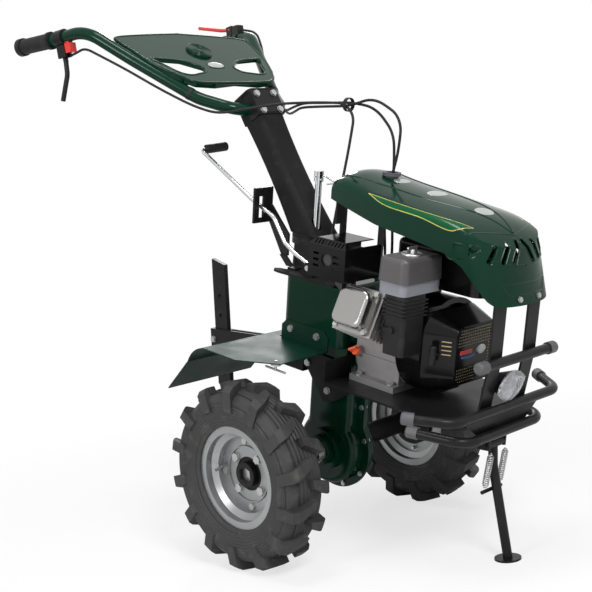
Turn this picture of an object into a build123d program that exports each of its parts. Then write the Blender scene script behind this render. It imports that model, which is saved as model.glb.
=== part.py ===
from build123d import *
import math
import os

# Two-wheel walking tractor: gear case and axle, engine on a base plate, hood, bumper with a prop
# stand, fenders, rear hitch, and a swivelling column that carries the handlebars and controls.
# Everything is drawn level about the axle: X forward, Y to the machine's left, Z up. The whole
# machine then tips nose down until the prop stand's foot is on the ground.

# ---------------------------------------------------------------- driving dimensions (mm, degrees)
NOSE_DOWN = 13.1            # tilt of the body while it leans on its prop stand
TRACK = 573.0               # between the two wheels' centre planes
RUN_GAP = 0.3               # between parts that move past each other
BORE_GAP = 0.05             # radial clearance of a shaft in its own bore
WELD_GAP = 0.02             # between pieces that are seated on each other

# wheels
TYRE_R = 207.0              # over the lugs
LUG_H = 19.0
LUG_W = 23.0
LUG_COUNT = 14              # on each shoulder
TYRE_W = 108.0
TYRE_WALL = 9.0
RIM_LIP_R = 114.0
BEAD_R = 101.0
RIM_W = 70.0                # between the outsides of the two flanges
RIM_T = 3.0
DISC_R = 84.0
HUB_FLANGE_R = 62.0
HUB_BOLT_PCD = 98.0
HUB_TUBE_R = 25.0
RIM_BOLT_PCD = 146.0
M10 = 5.0                   # bolt shank radii
M8 = 4.0
M6 = 3.0
AXLE_FLATS = 32.0           # hexagonal shaft across its flats
HUB_FACE_IN = 7.0           # hub's outer face, inboard of the wheel's centre plane
HUB_END_IN = 196.0          # inner end of the hub tube, inboard of the wheel's centre plane
AXLE_ROUND = 66.0           # half the length of the axle's round middle
AXLE_ROUND_R = 21.0

# gear case
CASE_R = 84.0               # round lower end of the gear case, about the axle
CASE_HALF_W = 62.0          # half the width of its upright part
CASE_DEPTH = 43.0           # each half, from the seam
CASE_TOP_Z = 262.0
SEAM_FLANGE = 17.0
SEAM_T = 4.0
CASE_WALL = 6.0
BOSS_R = 50.0               # axle bearing boss
BOSS_L = 14.0
UPPER_X0 = -122.0           # upper case, rear and front faces
UPPER_X1 = 66.0
UPPER_HALF_W = 84.0
UPPER_TOP_Z = 402.0
CLUTCH_FACE_X = 92.0        # where the engine bolts on
CLUTCH_R = 62.0

# sheet parts
FENDER_Z = 246.0
FENDER_T = 2.5
FENDER_X0 = -270.0
FENDER_X1 = 28.0
FENDER_LOW_Z = 122.0
FENDER_OUT = 292.0
FENDER_BOLT_X = (-88.0, -6.0)
FENDER_BOLT_Z = 276.0
GUSSET_T = 5.0
GUSSET_OFF = 16.0           # stands off the gear case's face
GUSSET_BOLTS = ((-50.0, 200.0), (30.0, 200.0), (16.0, 150.0))

# swivel base, gear lever
NECK_X = -118.0             # axis of the swivel
NECK_R = 48.0
NECK_TOP_Z = 478.0
SWIVEL_PIN_R = 8.0
SWIVEL_T = 8.0              # column's foot plate
SHIFT_T = 5.0
LEVER_Y = -80.0
LEVER_R = 5.0
LEVER_PIVOT = (-40.0, 428.0)
GATE_X = -214.0

# steering column and handlebars
COLUMN_LEAN = 37.0          # back from upright
COLUMN_L = 366.0
COLUMN_W = 84.0             # across Y
COLUMN_D = (80.0, 60.0, 66.0)  # front to back at the foot, the middle and the head
COLUMN_T = 5.0
CLAMP_AT = 328.0            # handlebar's centre, up the column
HANDLE_R = 14.5
HANDLE_T = 2.5
CLAMP_X = NECK_X - CLAMP_AT * math.sin(math.radians(COLUMN_LEAN))
CLAMP_Z = NECK_TOP_Z + RUN_GAP + SWIVEL_T + CLAMP_AT * math.cos(math.radians(COLUMN_LEAN))
HANDLE_HALF = [(CLAMP_X, -72.0, CLAMP_Z), (-396.0, -124.0, 768.0), (-540.0, -208.0, 846.0),
               (-648.0, -266.0, 906.0), (-742.0, -281.0, 880.0), (-866.0, -300.0, 852.0)]
HANDLE_BENDS = [40.0, 100.0, 110.0, 150.0, 60.0]   # from a rear end inwards
GRIP_R = 19.0
GRIP_L = 116.0
CABLE_R = 3.0
PIN_R = 8.0
PIN_X = -92.0
PIN_Y = -19.0
PIN_TOP_Z = 634.0
PIN_LIFT = 14.0

# engine
BASE_Z = 209.0              # top of the base plate
BASE_T = 5.0
BASE_X0 = 84.0
BASE_X1 = 440.0
BASE_HALF_W = 155.0
CRANK_H = 107.0             # crankshaft above the base plate
ENGINE_X0 = CLUTCH_FACE_X + 8.0
ENGINE_X1 = 236.0
FOOT_BOLT_Y = 84.0
CYL_X = 168.0
HEAD_TILT = 25.0            # cylinder above the horizontal, leaning to the right
HEAD_R0 = 84.0              # distances out along the cylinder
HEAD_R1 = 172.0
COVER_H = 30.0
FAN_R = 106.0
FAN_X1 = 300.0
RECOIL_X = 360.0            # front face of the recoil starter
MUFF_BOX = ((46.0, 150.0), (-184.0, -72.0), (444.0, 526.0))
FILTER_X = (232.0, 308.0)
FILTER_Y = (-182.0, -54.0)
FILTER_Z = (447.0, 472.0, 522.0)
TANK_X = (158.0, 388.0)
TANK_Y = (-40.0, 100.0)
TANK_Z = (442.0, 532.0)

# hood
HOOD_T = 2.5
HOOD_X0 = 18.0
HOOD_X1 = 482.0             # front of the lower lip
HOOD_HALF_W = 110.0
HOOD_LIP_Z = 449.0
HOOD_LOW = 430.0            # foot of the closed form that the hood is cut from
NOSE_LEAN = 16.0
HOOD_STATIONS = (           # place along X, half width, shoulder height, crown height
    (10.0, 93.0, 620.0, 642.0), (60.0, 100.0, 634.0, 654.0), (130.0, 107.0, 622.0, 643.0),
    (220.0, 111.0, 612.0, 632.0), (310.0, 113.0, 602.0, 621.0), (370.0, 114.0, 592.0, 608.0),
    (415.0, 114.0, 574.0, 587.0), (447.0, 114.0, 548.0, 560.0), (500.0, 114.0, 474.0, 485.0))
HOOD_SHOULDER_R = 22.0
HOOD_HOLE = (104.0, 0.0)    # cables go in here
HOOD_HOLE_R = 15.0
HOOD_HOLE_Z = 647.0
SLOT_COUNT = 4              # grille slots each side of the middle
SLOT_Y0 = 8.0
SLOT_PITCH = 30.0
SLOT_SLANT = 26.0
SLOT_H = 44.0
SLOT_W = 9.0
SLOT_Z = 548.0

# bumper and stand
UPRIGHT_X = 452.0
UPRIGHT_FOOT_X = 437.5
UPRIGHT_W = 40.0
UPRIGHT_Y = 59.0            # centre of each upright
UPRIGHT_T = 5.0
UPRIGHT_TOP_Z = 474.0
UPRIGHT_BEND_Z = 330.0
BUMP_TUBE_R = 10.5
TOP_TUBE_HALF = 128.0
HOOP_PLATE_T = 4.0
HOOP_Z = (229.0, 176.0)
STAND_X = 428.0
STAND_Z = 142.0
STAND_PIN_R = 6.0
FOOT_R = 28.0
FOOT_T = 4.0
LEG_R = 10.0

# hitch, in its own frame tilted nose up
HITCH_TILT = 8.0
HITCH_X = -410.0            # depth bar's centre line where it passes through the hitch
HITCH_Z = 157.0
HITCH_H = 50.0
HITCH_L = 290.0
HITCH_T = 6.0
BAR_W = 46.0
BAR_T = 12.0
BAR_UP = 205.0
BAR_DOWN = 120.0
BAR_PITCH = 50.0
BAR_HOLE_R = 5.5

CRANK_R = 12.5
HOOD_BOLT_Y = 32.0
HOOD_BOLT_Z = 461.0
HEADLIGHT_AT = (456.0, 273.0)
HEADLIGHT_W = 92.0
HEADLIGHT_H = 60.0
NOSE_BOW = 2.3              # how far the nose has curved back at the bolts
ARCH_X = 30.0               # rear hood arch
FLYWHEEL_R = 88.0
FAN_VANES = 12
DIPSTICK_SEAT = (112.0, -80.0, 272.0)
DIPSTICK_OUT = (-0.25, -0.85, 0.46)
STARTER_AT = (332.0, 322.0)
STARTER_Y = 104.0
CHOKE_AT = (272.0, 372.0)
PANEL_AT = (-525.0, 0.0, 858.0)
PANEL_TILT = 23.0
PANEL_T = 2.5
PANEL_RIM = 14.0
PANEL_HALF = [(-118.0, 0.0), (-92.0, 205.0), (-76.0, 216.0), (20.0, 196.0), (86.0, 164.0), (134.0, 126.0),
              (142.0, 70.0), (132.0, 0.0)]
PANEL_HOLE = [(14.0, 176.0), (26.0, 94.0), (62.0, 46.0), (86.0, 52.0), (100.0, 110.0), (84.0, 146.0)]
CLUTCH_CABLE_END = (-10.0, -58.0, UPPER_TOP_Z + SHIFT_T + 2 * WELD_GAP)
CLUTCH_SHARE = -0.16        # places along the handlebar's two rear straights, from the bend between them
BRAKE_SHARE = -0.16
BRAKE_LEVER_L = 165.0
LATCH_SHARE = 0.06
SWITCH_SHARE = -0.446
GEAR_R = 70.0               # final drive gear in the lower case
GEAR_TEETH = 28
SPACER_R = 28.0
T_BOLT_AT = (8.0, -226.0)
HITCH_FREE_HOLES = (60.0, 110.0)
HITCH_HOLE_R = 5.5
BAR_HOLES = (-90.0, -40.0, 60.0, 110.0)
SPRING_Y = 26.0
SPRING_LOW = (436.0, 40.0)
SPRING_HIGH = (444.0, 136.0)
SPRING_R = 7.0
FOOT_X = 459.0              # centre of the foot on the ground, ahead of the axle
GUSSET_Y = CASE_DEPTH + GUSSET_OFF + GUSSET_T
NOSE = math.radians(NOSE_DOWN)
NOSE_X = (math.cos(NOSE), 0, math.sin(NOSE))    # level directions seen from the tipped machine
NOSE_Z = (-math.sin(NOSE), 0, math.cos(NOSE))

NODES = {}


def placed_inverse(point):
    """A point given over the ground under the axle, in the level frame about the axle."""
    x, y, z = point[0], point[1], point[2] - TYRE_R
    return (x * math.cos(NOSE) - z * math.sin(NOSE), y, x * math.sin(NOSE) + z * math.cos(NOSE))


def node(name, *solids):
    """Adds solids to a named piece."""
    NODES.setdefault(name, [])
    for shape in solids:
        NODES[name].extend(shape.solids())


def rod(start, direction, radius, length):
    """Cylinder that starts at a point and runs along a direction."""
    plane = Plane(origin=start, z_dir=direction)
    return plane * Cylinder(radius, length, align=(Align.CENTER, Align.CENTER, Align.MIN))


def bar(x0, x1, y0, y1, z0, z1):
    """Box between two corners."""
    return Pos((x0 + x1) / 2, (y0 + y1) / 2, (z0 + z1) / 2) * Box(x1 - x0, y1 - y0, z1 - z0)


def side_plate(points, y0, thickness):
    """Plate cut to an outline in X and Z, from y0 towards +Y."""
    outline = Polyline(*[(x, y0, z) for x, z in points], close=True)
    return extrude(make_face(outline), amount=thickness, dir=(0, 1, 0))


def flat_plate(points, z0, thickness):
    """Plate cut to an outline in X and Y, from z0 upwards."""
    outline = Polyline(*[(x, y, z0) for x, y in points], close=True)
    return extrude(make_face(outline), amount=thickness, dir=(0, 0, 1))


def swept(points, radii, radius, bore=0.0):
    """Round bar or tube along straight runs joined by tangent arcs."""
    path = FilletPolyline(*points, radius=radii) if len(points) > 2 else Line(*points)
    section = Circle(radius)
    if bore:
        section -= Circle(bore)
    return sweep(Plane(origin=path @ 0, z_dir=path % 0) * section, path=path)


def easy_radii(points, share=0.45):
    """Largest bend at each inner point of a route that its two runs leave room for."""
    radii = []
    for before, here, after in zip(points, points[1:], points[2:]):
        run_in = Vector(*here) - Vector(*before)
        run_out = Vector(*after) - Vector(*here)
        half_turn = math.radians(run_in.get_angle(run_out)) / 2
        radii.append(share * min(run_in.length, run_out.length) / math.tan(half_turn))
    return radii


def mirrored(shape):
    """The same piece on the machine's other side."""
    return mirror(shape, about=Plane.XZ)


def hex_bolt(seat, direction, shank_r, shank_l, head=True):
    """Hexagon bolt: the head stands out of its seat, the shank goes the other way."""
    plane = Plane(origin=seat, z_dir=direction)
    bolt = plane * Pos(0, 0, -shank_l) * Cylinder(
        shank_r, shank_l, align=(Align.CENTER, Align.CENTER, Align.MIN))
    if head:
        bolt += plane * extrude(RegularPolygon(shank_r * 1.75, 6, major_radius=False), shank_r * 1.3)
        bolt += plane * Cylinder(shank_r * 2.1, 1.5, align=(Align.CENTER, Align.CENTER, Align.MIN))
    return bolt


# ---------------------------------------------------------------- wheels
def revolved(points, axis=Axis.Y):
    """Ring turned about the wheel's axis from (radius, across) points."""
    outline = Polyline(*[(r, a, 0) for r, a in points], close=True)
    return revolve(make_face(outline), axis=axis)


def tyre_solid():
    """Bar-lug tyre: open carcass with slanted lugs that wrap over both shoulders."""
    crown = TYRE_R - LUG_H
    half = TYRE_W / 2
    bead = RIM_W / 2 - RIM_T - 2 * WELD_GAP
    outer = Spline((BEAD_R + 3, bead - 2, 0), (crown - 38, half - 3, 0), (crown - 12, half - 7, 0),
                   (crown, 0, 0), (crown - 12, 7 - half, 0), (crown - 38, 3 - half, 0),
                   (BEAD_R + 3, 2 - bead, 0))
    inner_r = crown - TYRE_WALL
    inner = Spline((BEAD_R + 3, 12 - bead, 0), (crown - 40, TYRE_WALL - half + 2, 0), (inner_r, 0, 0),
                   (crown - 40, half - TYRE_WALL - 2, 0), (BEAD_R + 3, bead - 12, 0))
    section = make_face([outer, Line(outer @ 1, inner @ 0), inner, Line(inner @ 1, outer @ 0)])
    carcass = revolve(section, axis=Axis.Y)
    seat, wall = BEAD_R + WELD_GAP, bead
    clear = revolved([(BEAD_R - 20, wall), (RIM_LIP_R + WELD_GAP, wall), (RIM_LIP_R + WELD_GAP, 90), (BEAD_R - 20, 90)])
    ring = revolved([(seat, bead - 13), (seat, bead - 3.1), (BEAD_R + 3.1, bead), (BEAD_R + 12, bead),
                     (BEAD_R + 12, bead - 13)])
    carcass = carcass - clear - mirrored(clear) + ring + mirrored(ring)
    zone = Polyline((crown - 40, half - 6, 0), (crown - 36, half + 3, 0), (TYRE_R - 13, half - 1, 0),
                    (TYRE_R - 3, half - 14, 0), (TYRE_R, 0, 0), (TYRE_R, -4, 0), (crown - 4, -4, 0),
                    (crown - 16, half - 12, 0), close=True)
    lug_zone = revolve(make_face(zone), axis=Axis.Y)
    bar_outline = Polyline((-10, -6, 0), (10, -2, 0), (30, 34, 0), (34, half + 8, 0),
                           (34 - LUG_W, half + 8, 0), (28 - LUG_W, 40, 0), close=True)
    prism = extrude(make_face(bar_outline), amount=TYRE_R + 10 - (crown - 60))
    # the prism stands on the tyre's tangent plane: its Z becomes the radial direction
    prism = Pos(0, 0, crown - 60) * prism
    lug = lug_zone & prism
    lugs = []
    pitch = 360 / LUG_COUNT
    for step in range(LUG_COUNT):
        lugs.append(Rot(0, step * pitch, 0) * lug)
        lugs.append(Rot(0, (step + 0.5) * pitch, 0) * mirror(lug, about=Plane.XZ))
    return carcass.fuse(*[piece.solid() for piece in lugs])




def rim_halves():
    """Pressed rim in two halves bolted together at the disc; returns (outer, inner)."""
    out = RIM_W / 2 + HUB_FACE_IN
    inn = RIM_W / 2 - HUB_FACE_IN
    t = RIM_T
    well = BEAD_R - 14
    outer = revolved([
        (RIM_LIP_R, out), (RIM_LIP_R, out - t), (BEAD_R + t, out - t), (BEAD_R, out - 2 * t),
        (BEAD_R, out - 18), (well, out - 26), (well, WELD_GAP), (38, WELD_GAP), (38, t),
        (59.6, t), (60.8, t + 4), (63, t + 4), (64.4, t), (well - t, t), (well - t, out - 24),
        (BEAD_R - t, out - 16), (BEAD_R - t, out)])
    inner = revolved([
        (RIM_LIP_R, -inn), (RIM_LIP_R, t - inn), (BEAD_R + t, t - inn), (BEAD_R, 2 * t - inn),
        (BEAD_R, 16 - inn), (well, 22 - inn), (well, -WELD_GAP), (65, -WELD_GAP), (65, -t),
        (well - t, -t), (well - t, 20 - inn), (BEAD_R - t, 14 - inn), (BEAD_R - t, -inn)])
    shift = Pos(0, -HUB_FACE_IN + WELD_GAP, 0)
    return shift * outer, shift * inner


def wheel_pieces():
    """One wheel about its own centre, outboard towards +Y, as a dictionary of pieces."""
    outer, inner = rim_halves()
    face = -HUB_FACE_IN
    hub = rod((0, face - 10, 0), (0, 1, 0), HUB_FLANGE_R, 10)
    hub += rod((0, -HUB_END_IN, 0), (0, 1, 0), HUB_TUBE_R, HUB_END_IN - HUB_FACE_IN)
    hub += rod((0, face, 0), (0, 1, 0), HUB_TUBE_R + 3, 16)
    bore = extrude(Plane(origin=(0, -HUB_END_IN - 1, 0), z_dir=(0, 1, 0))
                   * RegularPolygon(AXLE_FLATS / 2 + BORE_GAP, 6, major_radius=False), HUB_END_IN + 40)
    hub -= bore
    bolts = []
    seat_y = face + RIM_T + 2 * WELD_GAP
    for angle in (45, 135, 225, 315):
        spin = Rot(0, angle, 0)
        bolts.append(spin * hex_bolt((HUB_BOLT_PCD / 2, seat_y, 0), (0, 1, 0), M10, 26))
        hole = spin * rod((HUB_BOLT_PCD / 2, -60, 0), (0, 1, 0), M10 + BORE_GAP, 120)
        hub -= hole
        outer -= hole
    for angle in (0, 90, 180, 270):
        spin = Rot(0, angle, 0)
        bolts.append(spin * hex_bolt((RIM_BOLT_PCD / 2, seat_y, 0), (0, 1, 0), M8, 16))
        hole = spin * rod((RIM_BOLT_PCD / 2, -60, 0), (0, 1, 0), M8 + BORE_GAP, 120)
        outer -= hole
        inner -= hole
    well = BEAD_R - 14 - RIM_T - WELD_GAP
    route = [(-well, 7, 0), (8 - well, 7, 0), (14 - well, 36, 0)]
    stem = Rot(0, 8, 0) * swept(route, [5.0], 3.5)
    return {"hub": hub, "outer": outer, "inner": inner, "bolts": bolts, "stem": stem}


def make_wheels():
    """Both wheels on the through axle."""
    pieces = wheel_pieces()
    tyre = tyre_solid()
    out = Pos(0, TRACK / 2, 0) * Rot(0, -NOSE_DOWN, 0)
    for side, name in ((1, "tyre_left"), (-1, "tyre_right")):
        turn = (lambda s: s) if side > 0 else mirrored
        node(name, turn(out * tyre))
        node("wheel_hubs", turn(out * pieces["hub"]))
        node("wheel_rims", turn(out * pieces["outer"]), turn(out * pieces["inner"]))
        node("wheel_bolts", *[turn(out * bolt) for bolt in pieces["bolts"]])
        node("wheel_rims", turn(out * pieces["stem"]))
    reach = TRACK / 2 - HUB_FACE_IN + 6
    shaft = extrude(Plane(origin=(0, -reach, 0), z_dir=(0, 1, 0))
                    * RegularPolygon(AXLE_FLATS / 2, 6, major_radius=False), 2 * reach)
    round_part = rod((0, -AXLE_ROUND, 0), (0, 1, 0), AXLE_ROUND_R, 2 * AXLE_ROUND)
    shaft += round_part
    node("drive_axle", Rot(0, -NOSE_DOWN, 0) * shaft)


# ---------------------------------------------------------------- gear case
def case_outline(grow, top):
    """Pear-shaped outline of the gear case in X and Z, grown outwards by a margin."""
    half = CASE_HALF_W + grow
    radius = CASE_R + grow
    reach = math.sqrt(radius ** 2 - half ** 2)
    lower = ThreePointArc((-half, 0, reach), (0, 0, -radius), (half, 0, reach))
    return make_face([lower, Polyline(lower @ 1, (half, 0, top), (-half, 0, top), lower @ 0)])


def case_half():
    """Left half of the lower gear case, from the seam towards +Y."""
    shell = extrude(case_outline(0, CASE_TOP_Z), amount=CASE_DEPTH, dir=(0, 1, 0))
    edges = shell.faces().sort_by(Axis.Y)[-1].edges()
    shell = fillet(edges, 14)
    shell += extrude(case_outline(SEAM_FLANGE, CASE_TOP_Z), amount=SEAM_T, dir=(0, 1, 0))
    inner = extrude(case_outline(-CASE_WALL, CASE_TOP_Z - CASE_WALL), amount=CASE_DEPTH - CASE_WALL,
                    dir=(0, 1, 0))
    shell -= inner
    shell += rod((0, CASE_DEPTH - CASE_WALL, 0), (0, 1, 0), BOSS_R, BOSS_L + CASE_WALL)
    shell += rod((0, CASE_DEPTH - 1, 0), (0, 1, 0), BOSS_R - 14, BOSS_L + 12)
    shell -= rod((0, -1, 0), (0, 1, 0), AXLE_ROUND_R + BORE_GAP, 200)
    shell = Pos(0, WELD_GAP / 2, 0) * shell
    for x, z in SEAM_BOLTS:
        shell -= rod((x, -30, z), (0, 1, 0), M6 + BORE_GAP, 60)
    return shell


def seam_bolt_places():
    """Bolts round the seam flange: up both sides and round the lower end."""
    mid = SEAM_FLANGE / 2
    places = [(side * (CASE_HALF_W + mid), z) for side in (-1, 1) for z in (112, 162, 212)]
    radius = CASE_R + mid
    for angle in (-150, -110, -70, -30, 22, 158):
        places.append((radius * math.cos(math.radians(angle)), radius * math.sin(math.radians(angle))))
    return places


SEAM_BOLTS = seam_bolt_places()


def make_gear_case():
    half = case_half()
    node("gearbox_halves", half, mirrored(half))
    for x, z in SEAM_BOLTS:
        seat = SEAM_T + WELD_GAP
        bolt = hex_bolt((x, -seat, z), (0, -1, 0), M6, 2 * seat + 7)
        nut = rod((x, seat, z), (0, 1, 0), M6 + 2.5, 5) - rod((x, 0, z), (0, 1, 0), M6 + BORE_GAP, 30)
        node("chassis_bolts", bolt, nut)
    base = CASE_TOP_Z + WELD_GAP
    upper = bar(UPPER_X0, UPPER_X1, -UPPER_HALF_W, UPPER_HALF_W, base, UPPER_TOP_Z)
    upper = fillet(upper.edges().filter_by(Axis.Z), 22)
    upper = fillet(upper.edges().group_by(Axis.Z)[-1], 8)
    skirt = bar(UPPER_X0 + 26, UPPER_X1 - 4, -UPPER_HALF_W + 26, UPPER_HALF_W - 26, base - 34, base + 4)
    cavity = extrude(case_outline(WELD_GAP, CASE_TOP_Z + 1), amount=CASE_DEPTH + WELD_GAP, both=True,
                     dir=(0, 1, 0))
    flange = extrude(case_outline(SEAM_FLANGE + WELD_GAP, CASE_TOP_Z + 1), amount=SEAM_T + 2 * WELD_GAP,
                     both=True, dir=(0, 1, 0))
    upper += skirt - cavity - flange
    boss = rod((UPPER_X1 - 1, 0, CRANK_Z), (1, 0, 0), CLUTCH_R, CLUTCH_FACE_X - UPPER_X1 + 1)
    upper += boss & bar(0, 200, -100, 100, base, 500)
    for x in FENDER_BOLT_X:
        upper -= rod((x, -200, FENDER_BOLT_Z), (0, 1, 0), M8 + BORE_GAP, 400)
    node("gearbox_upper_case", upper)


# ---------------------------------------------------------------- sheet parts round the gear case
def upright(sketch, y0, thickness):
    """Stands a sketch drawn in X and Z upright and thickens it from y0 towards +Y."""
    return Pos(0, y0 + thickness, 0) * (Rot(90, 0, 0) * extrude(sketch, amount=thickness))


def fender_solid():
    """Right fender: flat top, chamfered outer corner, flap bent down behind the wheel."""
    top = FENDER_Z
    bend = ThreePointArc((-146, top), (-182, top - 12), (-204, top - 42))
    spine = Curve() + [Line((FENDER_X1, top), bend @ 0), bend, Line(bend @ 1, (FENDER_X0, FENDER_LOW_Z))]
    under = offset(spine, amount=-FENDER_T, side=Side.RIGHT, closed=True)
    sheet = upright(make_face(under), -400, 400)
    case_y = UPPER_HALF_W + WELD_GAP
    plan = flat_plate([(FENDER_X1, -case_y), (FENDER_X1, -232), (-50, -FENDER_OUT), (-400, -FENDER_OUT),
                       (-400, -34), (UPPER_X0 - 6, -34), (UPPER_X0 - 6, -case_y)], 0, 400)
    sheet = sheet & plan
    lip = side_plate([(FENDER_X1, top), (FENDER_X1, top + 34), (FENDER_X1 - 14, top + 48), (-104, top + 48),
                      (-118, top + 34), (-118, top)], -case_y - FENDER_T, FENDER_T)
    lip -= bar(-200, 200, -case_y - FENDER_T - 1, -case_y + 1, top - 40, top - FENDER_T)
    fender = sheet + lip
    for x in FENDER_BOLT_X:
        fender -= rod((x, -case_y - 10, FENDER_BOLT_Z), (0, 1, 0), M8 + BORE_GAP, 20)
    fender -= drum(*T_BOLT_AT, top - 20, M6 + BORE_GAP, 40)
    return fender


def make_sheet_parts():
    fender = fender_solid()
    node("fenders", fender, mirrored(fender))
    seat_y = UPPER_HALF_W + FENDER_T + 2 * WELD_GAP
    for x in FENDER_BOLT_X:
        bolt = hex_bolt((x, -seat_y, FENDER_BOLT_Z), (0, -1, 0), M8, 20)
        node("chassis_bolts", bolt, mirrored(bolt))
    # black side gussets that carry the base plate's rear corners
    gusset_y = CASE_DEPTH + GUSSET_OFF
    gusset = side_plate([(-88, 232), (52, 226), (80, 203.9), (104, 203.9), (104, 176), (40, 132), (4, 120)],
                        -gusset_y - GUSSET_T, GUSSET_T)
    for x, z in GUSSET_BOLTS:
        gusset -= rod((x, -gusset_y - 20, z), (0, 1, 0), M8 + BORE_GAP, 40)
        bolt = hex_bolt((x, -gusset_y - GUSSET_T - WELD_GAP, z), (0, -1, 0), M8, GUSSET_OFF + GUSSET_T)
        node("chassis_bolts", bolt, mirrored(bolt))
    node("side_gussets", gusset, mirrored(gusset))


# ---------------------------------------------------------------- swivel base, shift plate, gear lever
def drum(x, y, z, radius, height):
    """Upright cylinder that stands on z."""
    return Pos(x, y, z) * Cylinder(radius, height, align=(Align.CENTER, Align.CENTER, Align.MIN))


def make_swivel_base():
    base = UPPER_TOP_Z + WELD_GAP
    neck = Pos(NECK_X + 14, 0, base) * extrude(RectangleRounded(96, 76, 16), NECK_TOP_Z - base - 6, taper=2)
    neck += drum(NECK_X, 0, NECK_TOP_Z - 16, NECK_R, 16)
    neck -= drum(NECK_X, 0, NECK_TOP_Z - 44, SWIVEL_PIN_R + BORE_GAP, 60)
    node("swivel_base", neck)
    king = hex_bolt((NECK_X, 0, NECK_TOP_Z + RUN_GAP + SWIVEL_T + WELD_GAP), (0, 0, 1), SWIVEL_PIN_R, 44)
    node("column_bolts", king)


def make_shift_gear():
    """Shift plate on the gear case, its lever and the gate that guides the lever."""
    z = UPPER_TOP_Z + WELD_GAP
    px, pz = LEVER_PIVOT
    plate = flat_plate([(-124, -104), (-140, -100), (-148, -90), (-140, -80), (-124, -76),
                        (-112, -46), (50, -46), (50, -104)], z, SHIFT_T)
    plate = fillet(plate.edges().filter_by(Axis.Z), 3)
    ears = []
    for y in (LEVER_Y - 13, LEVER_Y + 8):
        ear = side_plate([(px - 14, z + SHIFT_T), (px + 14, z + SHIFT_T), (px + 10, pz + 10), (px - 10, pz + 10)],
                         y, 5)
        ears.append(ear - rod((px, y - 1, pz), (0, 1, 0), M6 + BORE_GAP, 8))
    node("shift_plate", plate + ears[0] + ears[1])
    pin = rod((px, LEVER_Y - 15, pz), (0, 1, 0), M6, 30)
    pin += rod((px, LEVER_Y - 17, pz), (0, 1, 0), M6 + 3, 17 - 13 - WELD_GAP)
    node("chassis_bolts", pin)
    eye = rod((px, LEVER_Y - 7, pz), (0, 1, 0), 9, 14)
    route = [(px - 6, LEVER_Y, pz + 3), (-96, LEVER_Y, 450), (-128, LEVER_Y, 468), (-168, LEVER_Y, 520),
             (-246, LEVER_Y, 551), (-429, LEVER_Y, 641), (-429, LEVER_Y + 66, 645)]
    lever = eye + swept(route, [24.0, 14.0, 24.0, 60.0, 12.0], LEVER_R)
    lever -= rod((px, LEVER_Y - 20, pz), (0, 1, 0), M6 + BORE_GAP, 40)
    node("gear_lever", lever)
    grip = rod((-429, LEVER_Y + 16, 641.97), (0, 66, 4), 11, 62) - rod(
        (-429, LEVER_Y + 15, 641.91), (0, 66, 4), LEVER_R + WELD_GAP, 52)
    node("gear_lever_grip", grip)
    gate = bar(GATE_X - 3, GATE_X + 3, LEVER_Y - 22, -44, 500, 582)
    gate -= bar(GATE_X - 5, GATE_X + 5, LEVER_Y - LEVER_R - 2, LEVER_Y + LEVER_R + 2, 512, 562)
    arm = side_plate([(GATE_X - 3, 500), (GATE_X + 3, 540), (-150, 480), (-150, 430), (-172, 430)], -48, 5)
    post = side_plate([(-172, 430), (-150, 430), (-124, UPPER_TOP_Z + SHIFT_T + WELD_GAP),
                       (-148, UPPER_TOP_Z + SHIFT_T + WELD_GAP)], -53, 5)
    foot = bar(-124, -100, -72, -50, UPPER_TOP_Z + SHIFT_T + WELD_GAP, UPPER_TOP_Z + SHIFT_T + 4)
    node("lever_gate", gate + arm + post + foot)


# ---------------------------------------------------------------- steering column
def column_frame():
    """Plane at the column's foot: Z runs up the column, X to its front, Y to the machine's left."""
    lean = math.radians(COLUMN_LEAN)
    origin = (NECK_X, 0, NECK_TOP_Z + RUN_GAP + SWIVEL_T)
    return Plane(origin=origin, x_dir=(math.cos(lean), 0, math.sin(lean)),
                 z_dir=(-math.sin(lean), 0, math.cos(lean)))


def column_body(margin):
    """Column's outside, drawn inwards by a margin, as a loft in its own frame."""
    foot, middle, head = [depth - 2 * margin for depth in COLUMN_D]
    width = COLUMN_W - 2 * margin
    sections = [
        Pos(0, 0, -40) * RectangleRounded(foot, width, 14 - margin),
        Pos(0, 0, COLUMN_L * 0.45) * RectangleRounded(middle, width - 8, 16 - margin),
        Pos(0, 0, COLUMN_L - margin) * RectangleRounded(head, width + 4, 12 - margin),
    ]
    return loft(sections)


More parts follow.
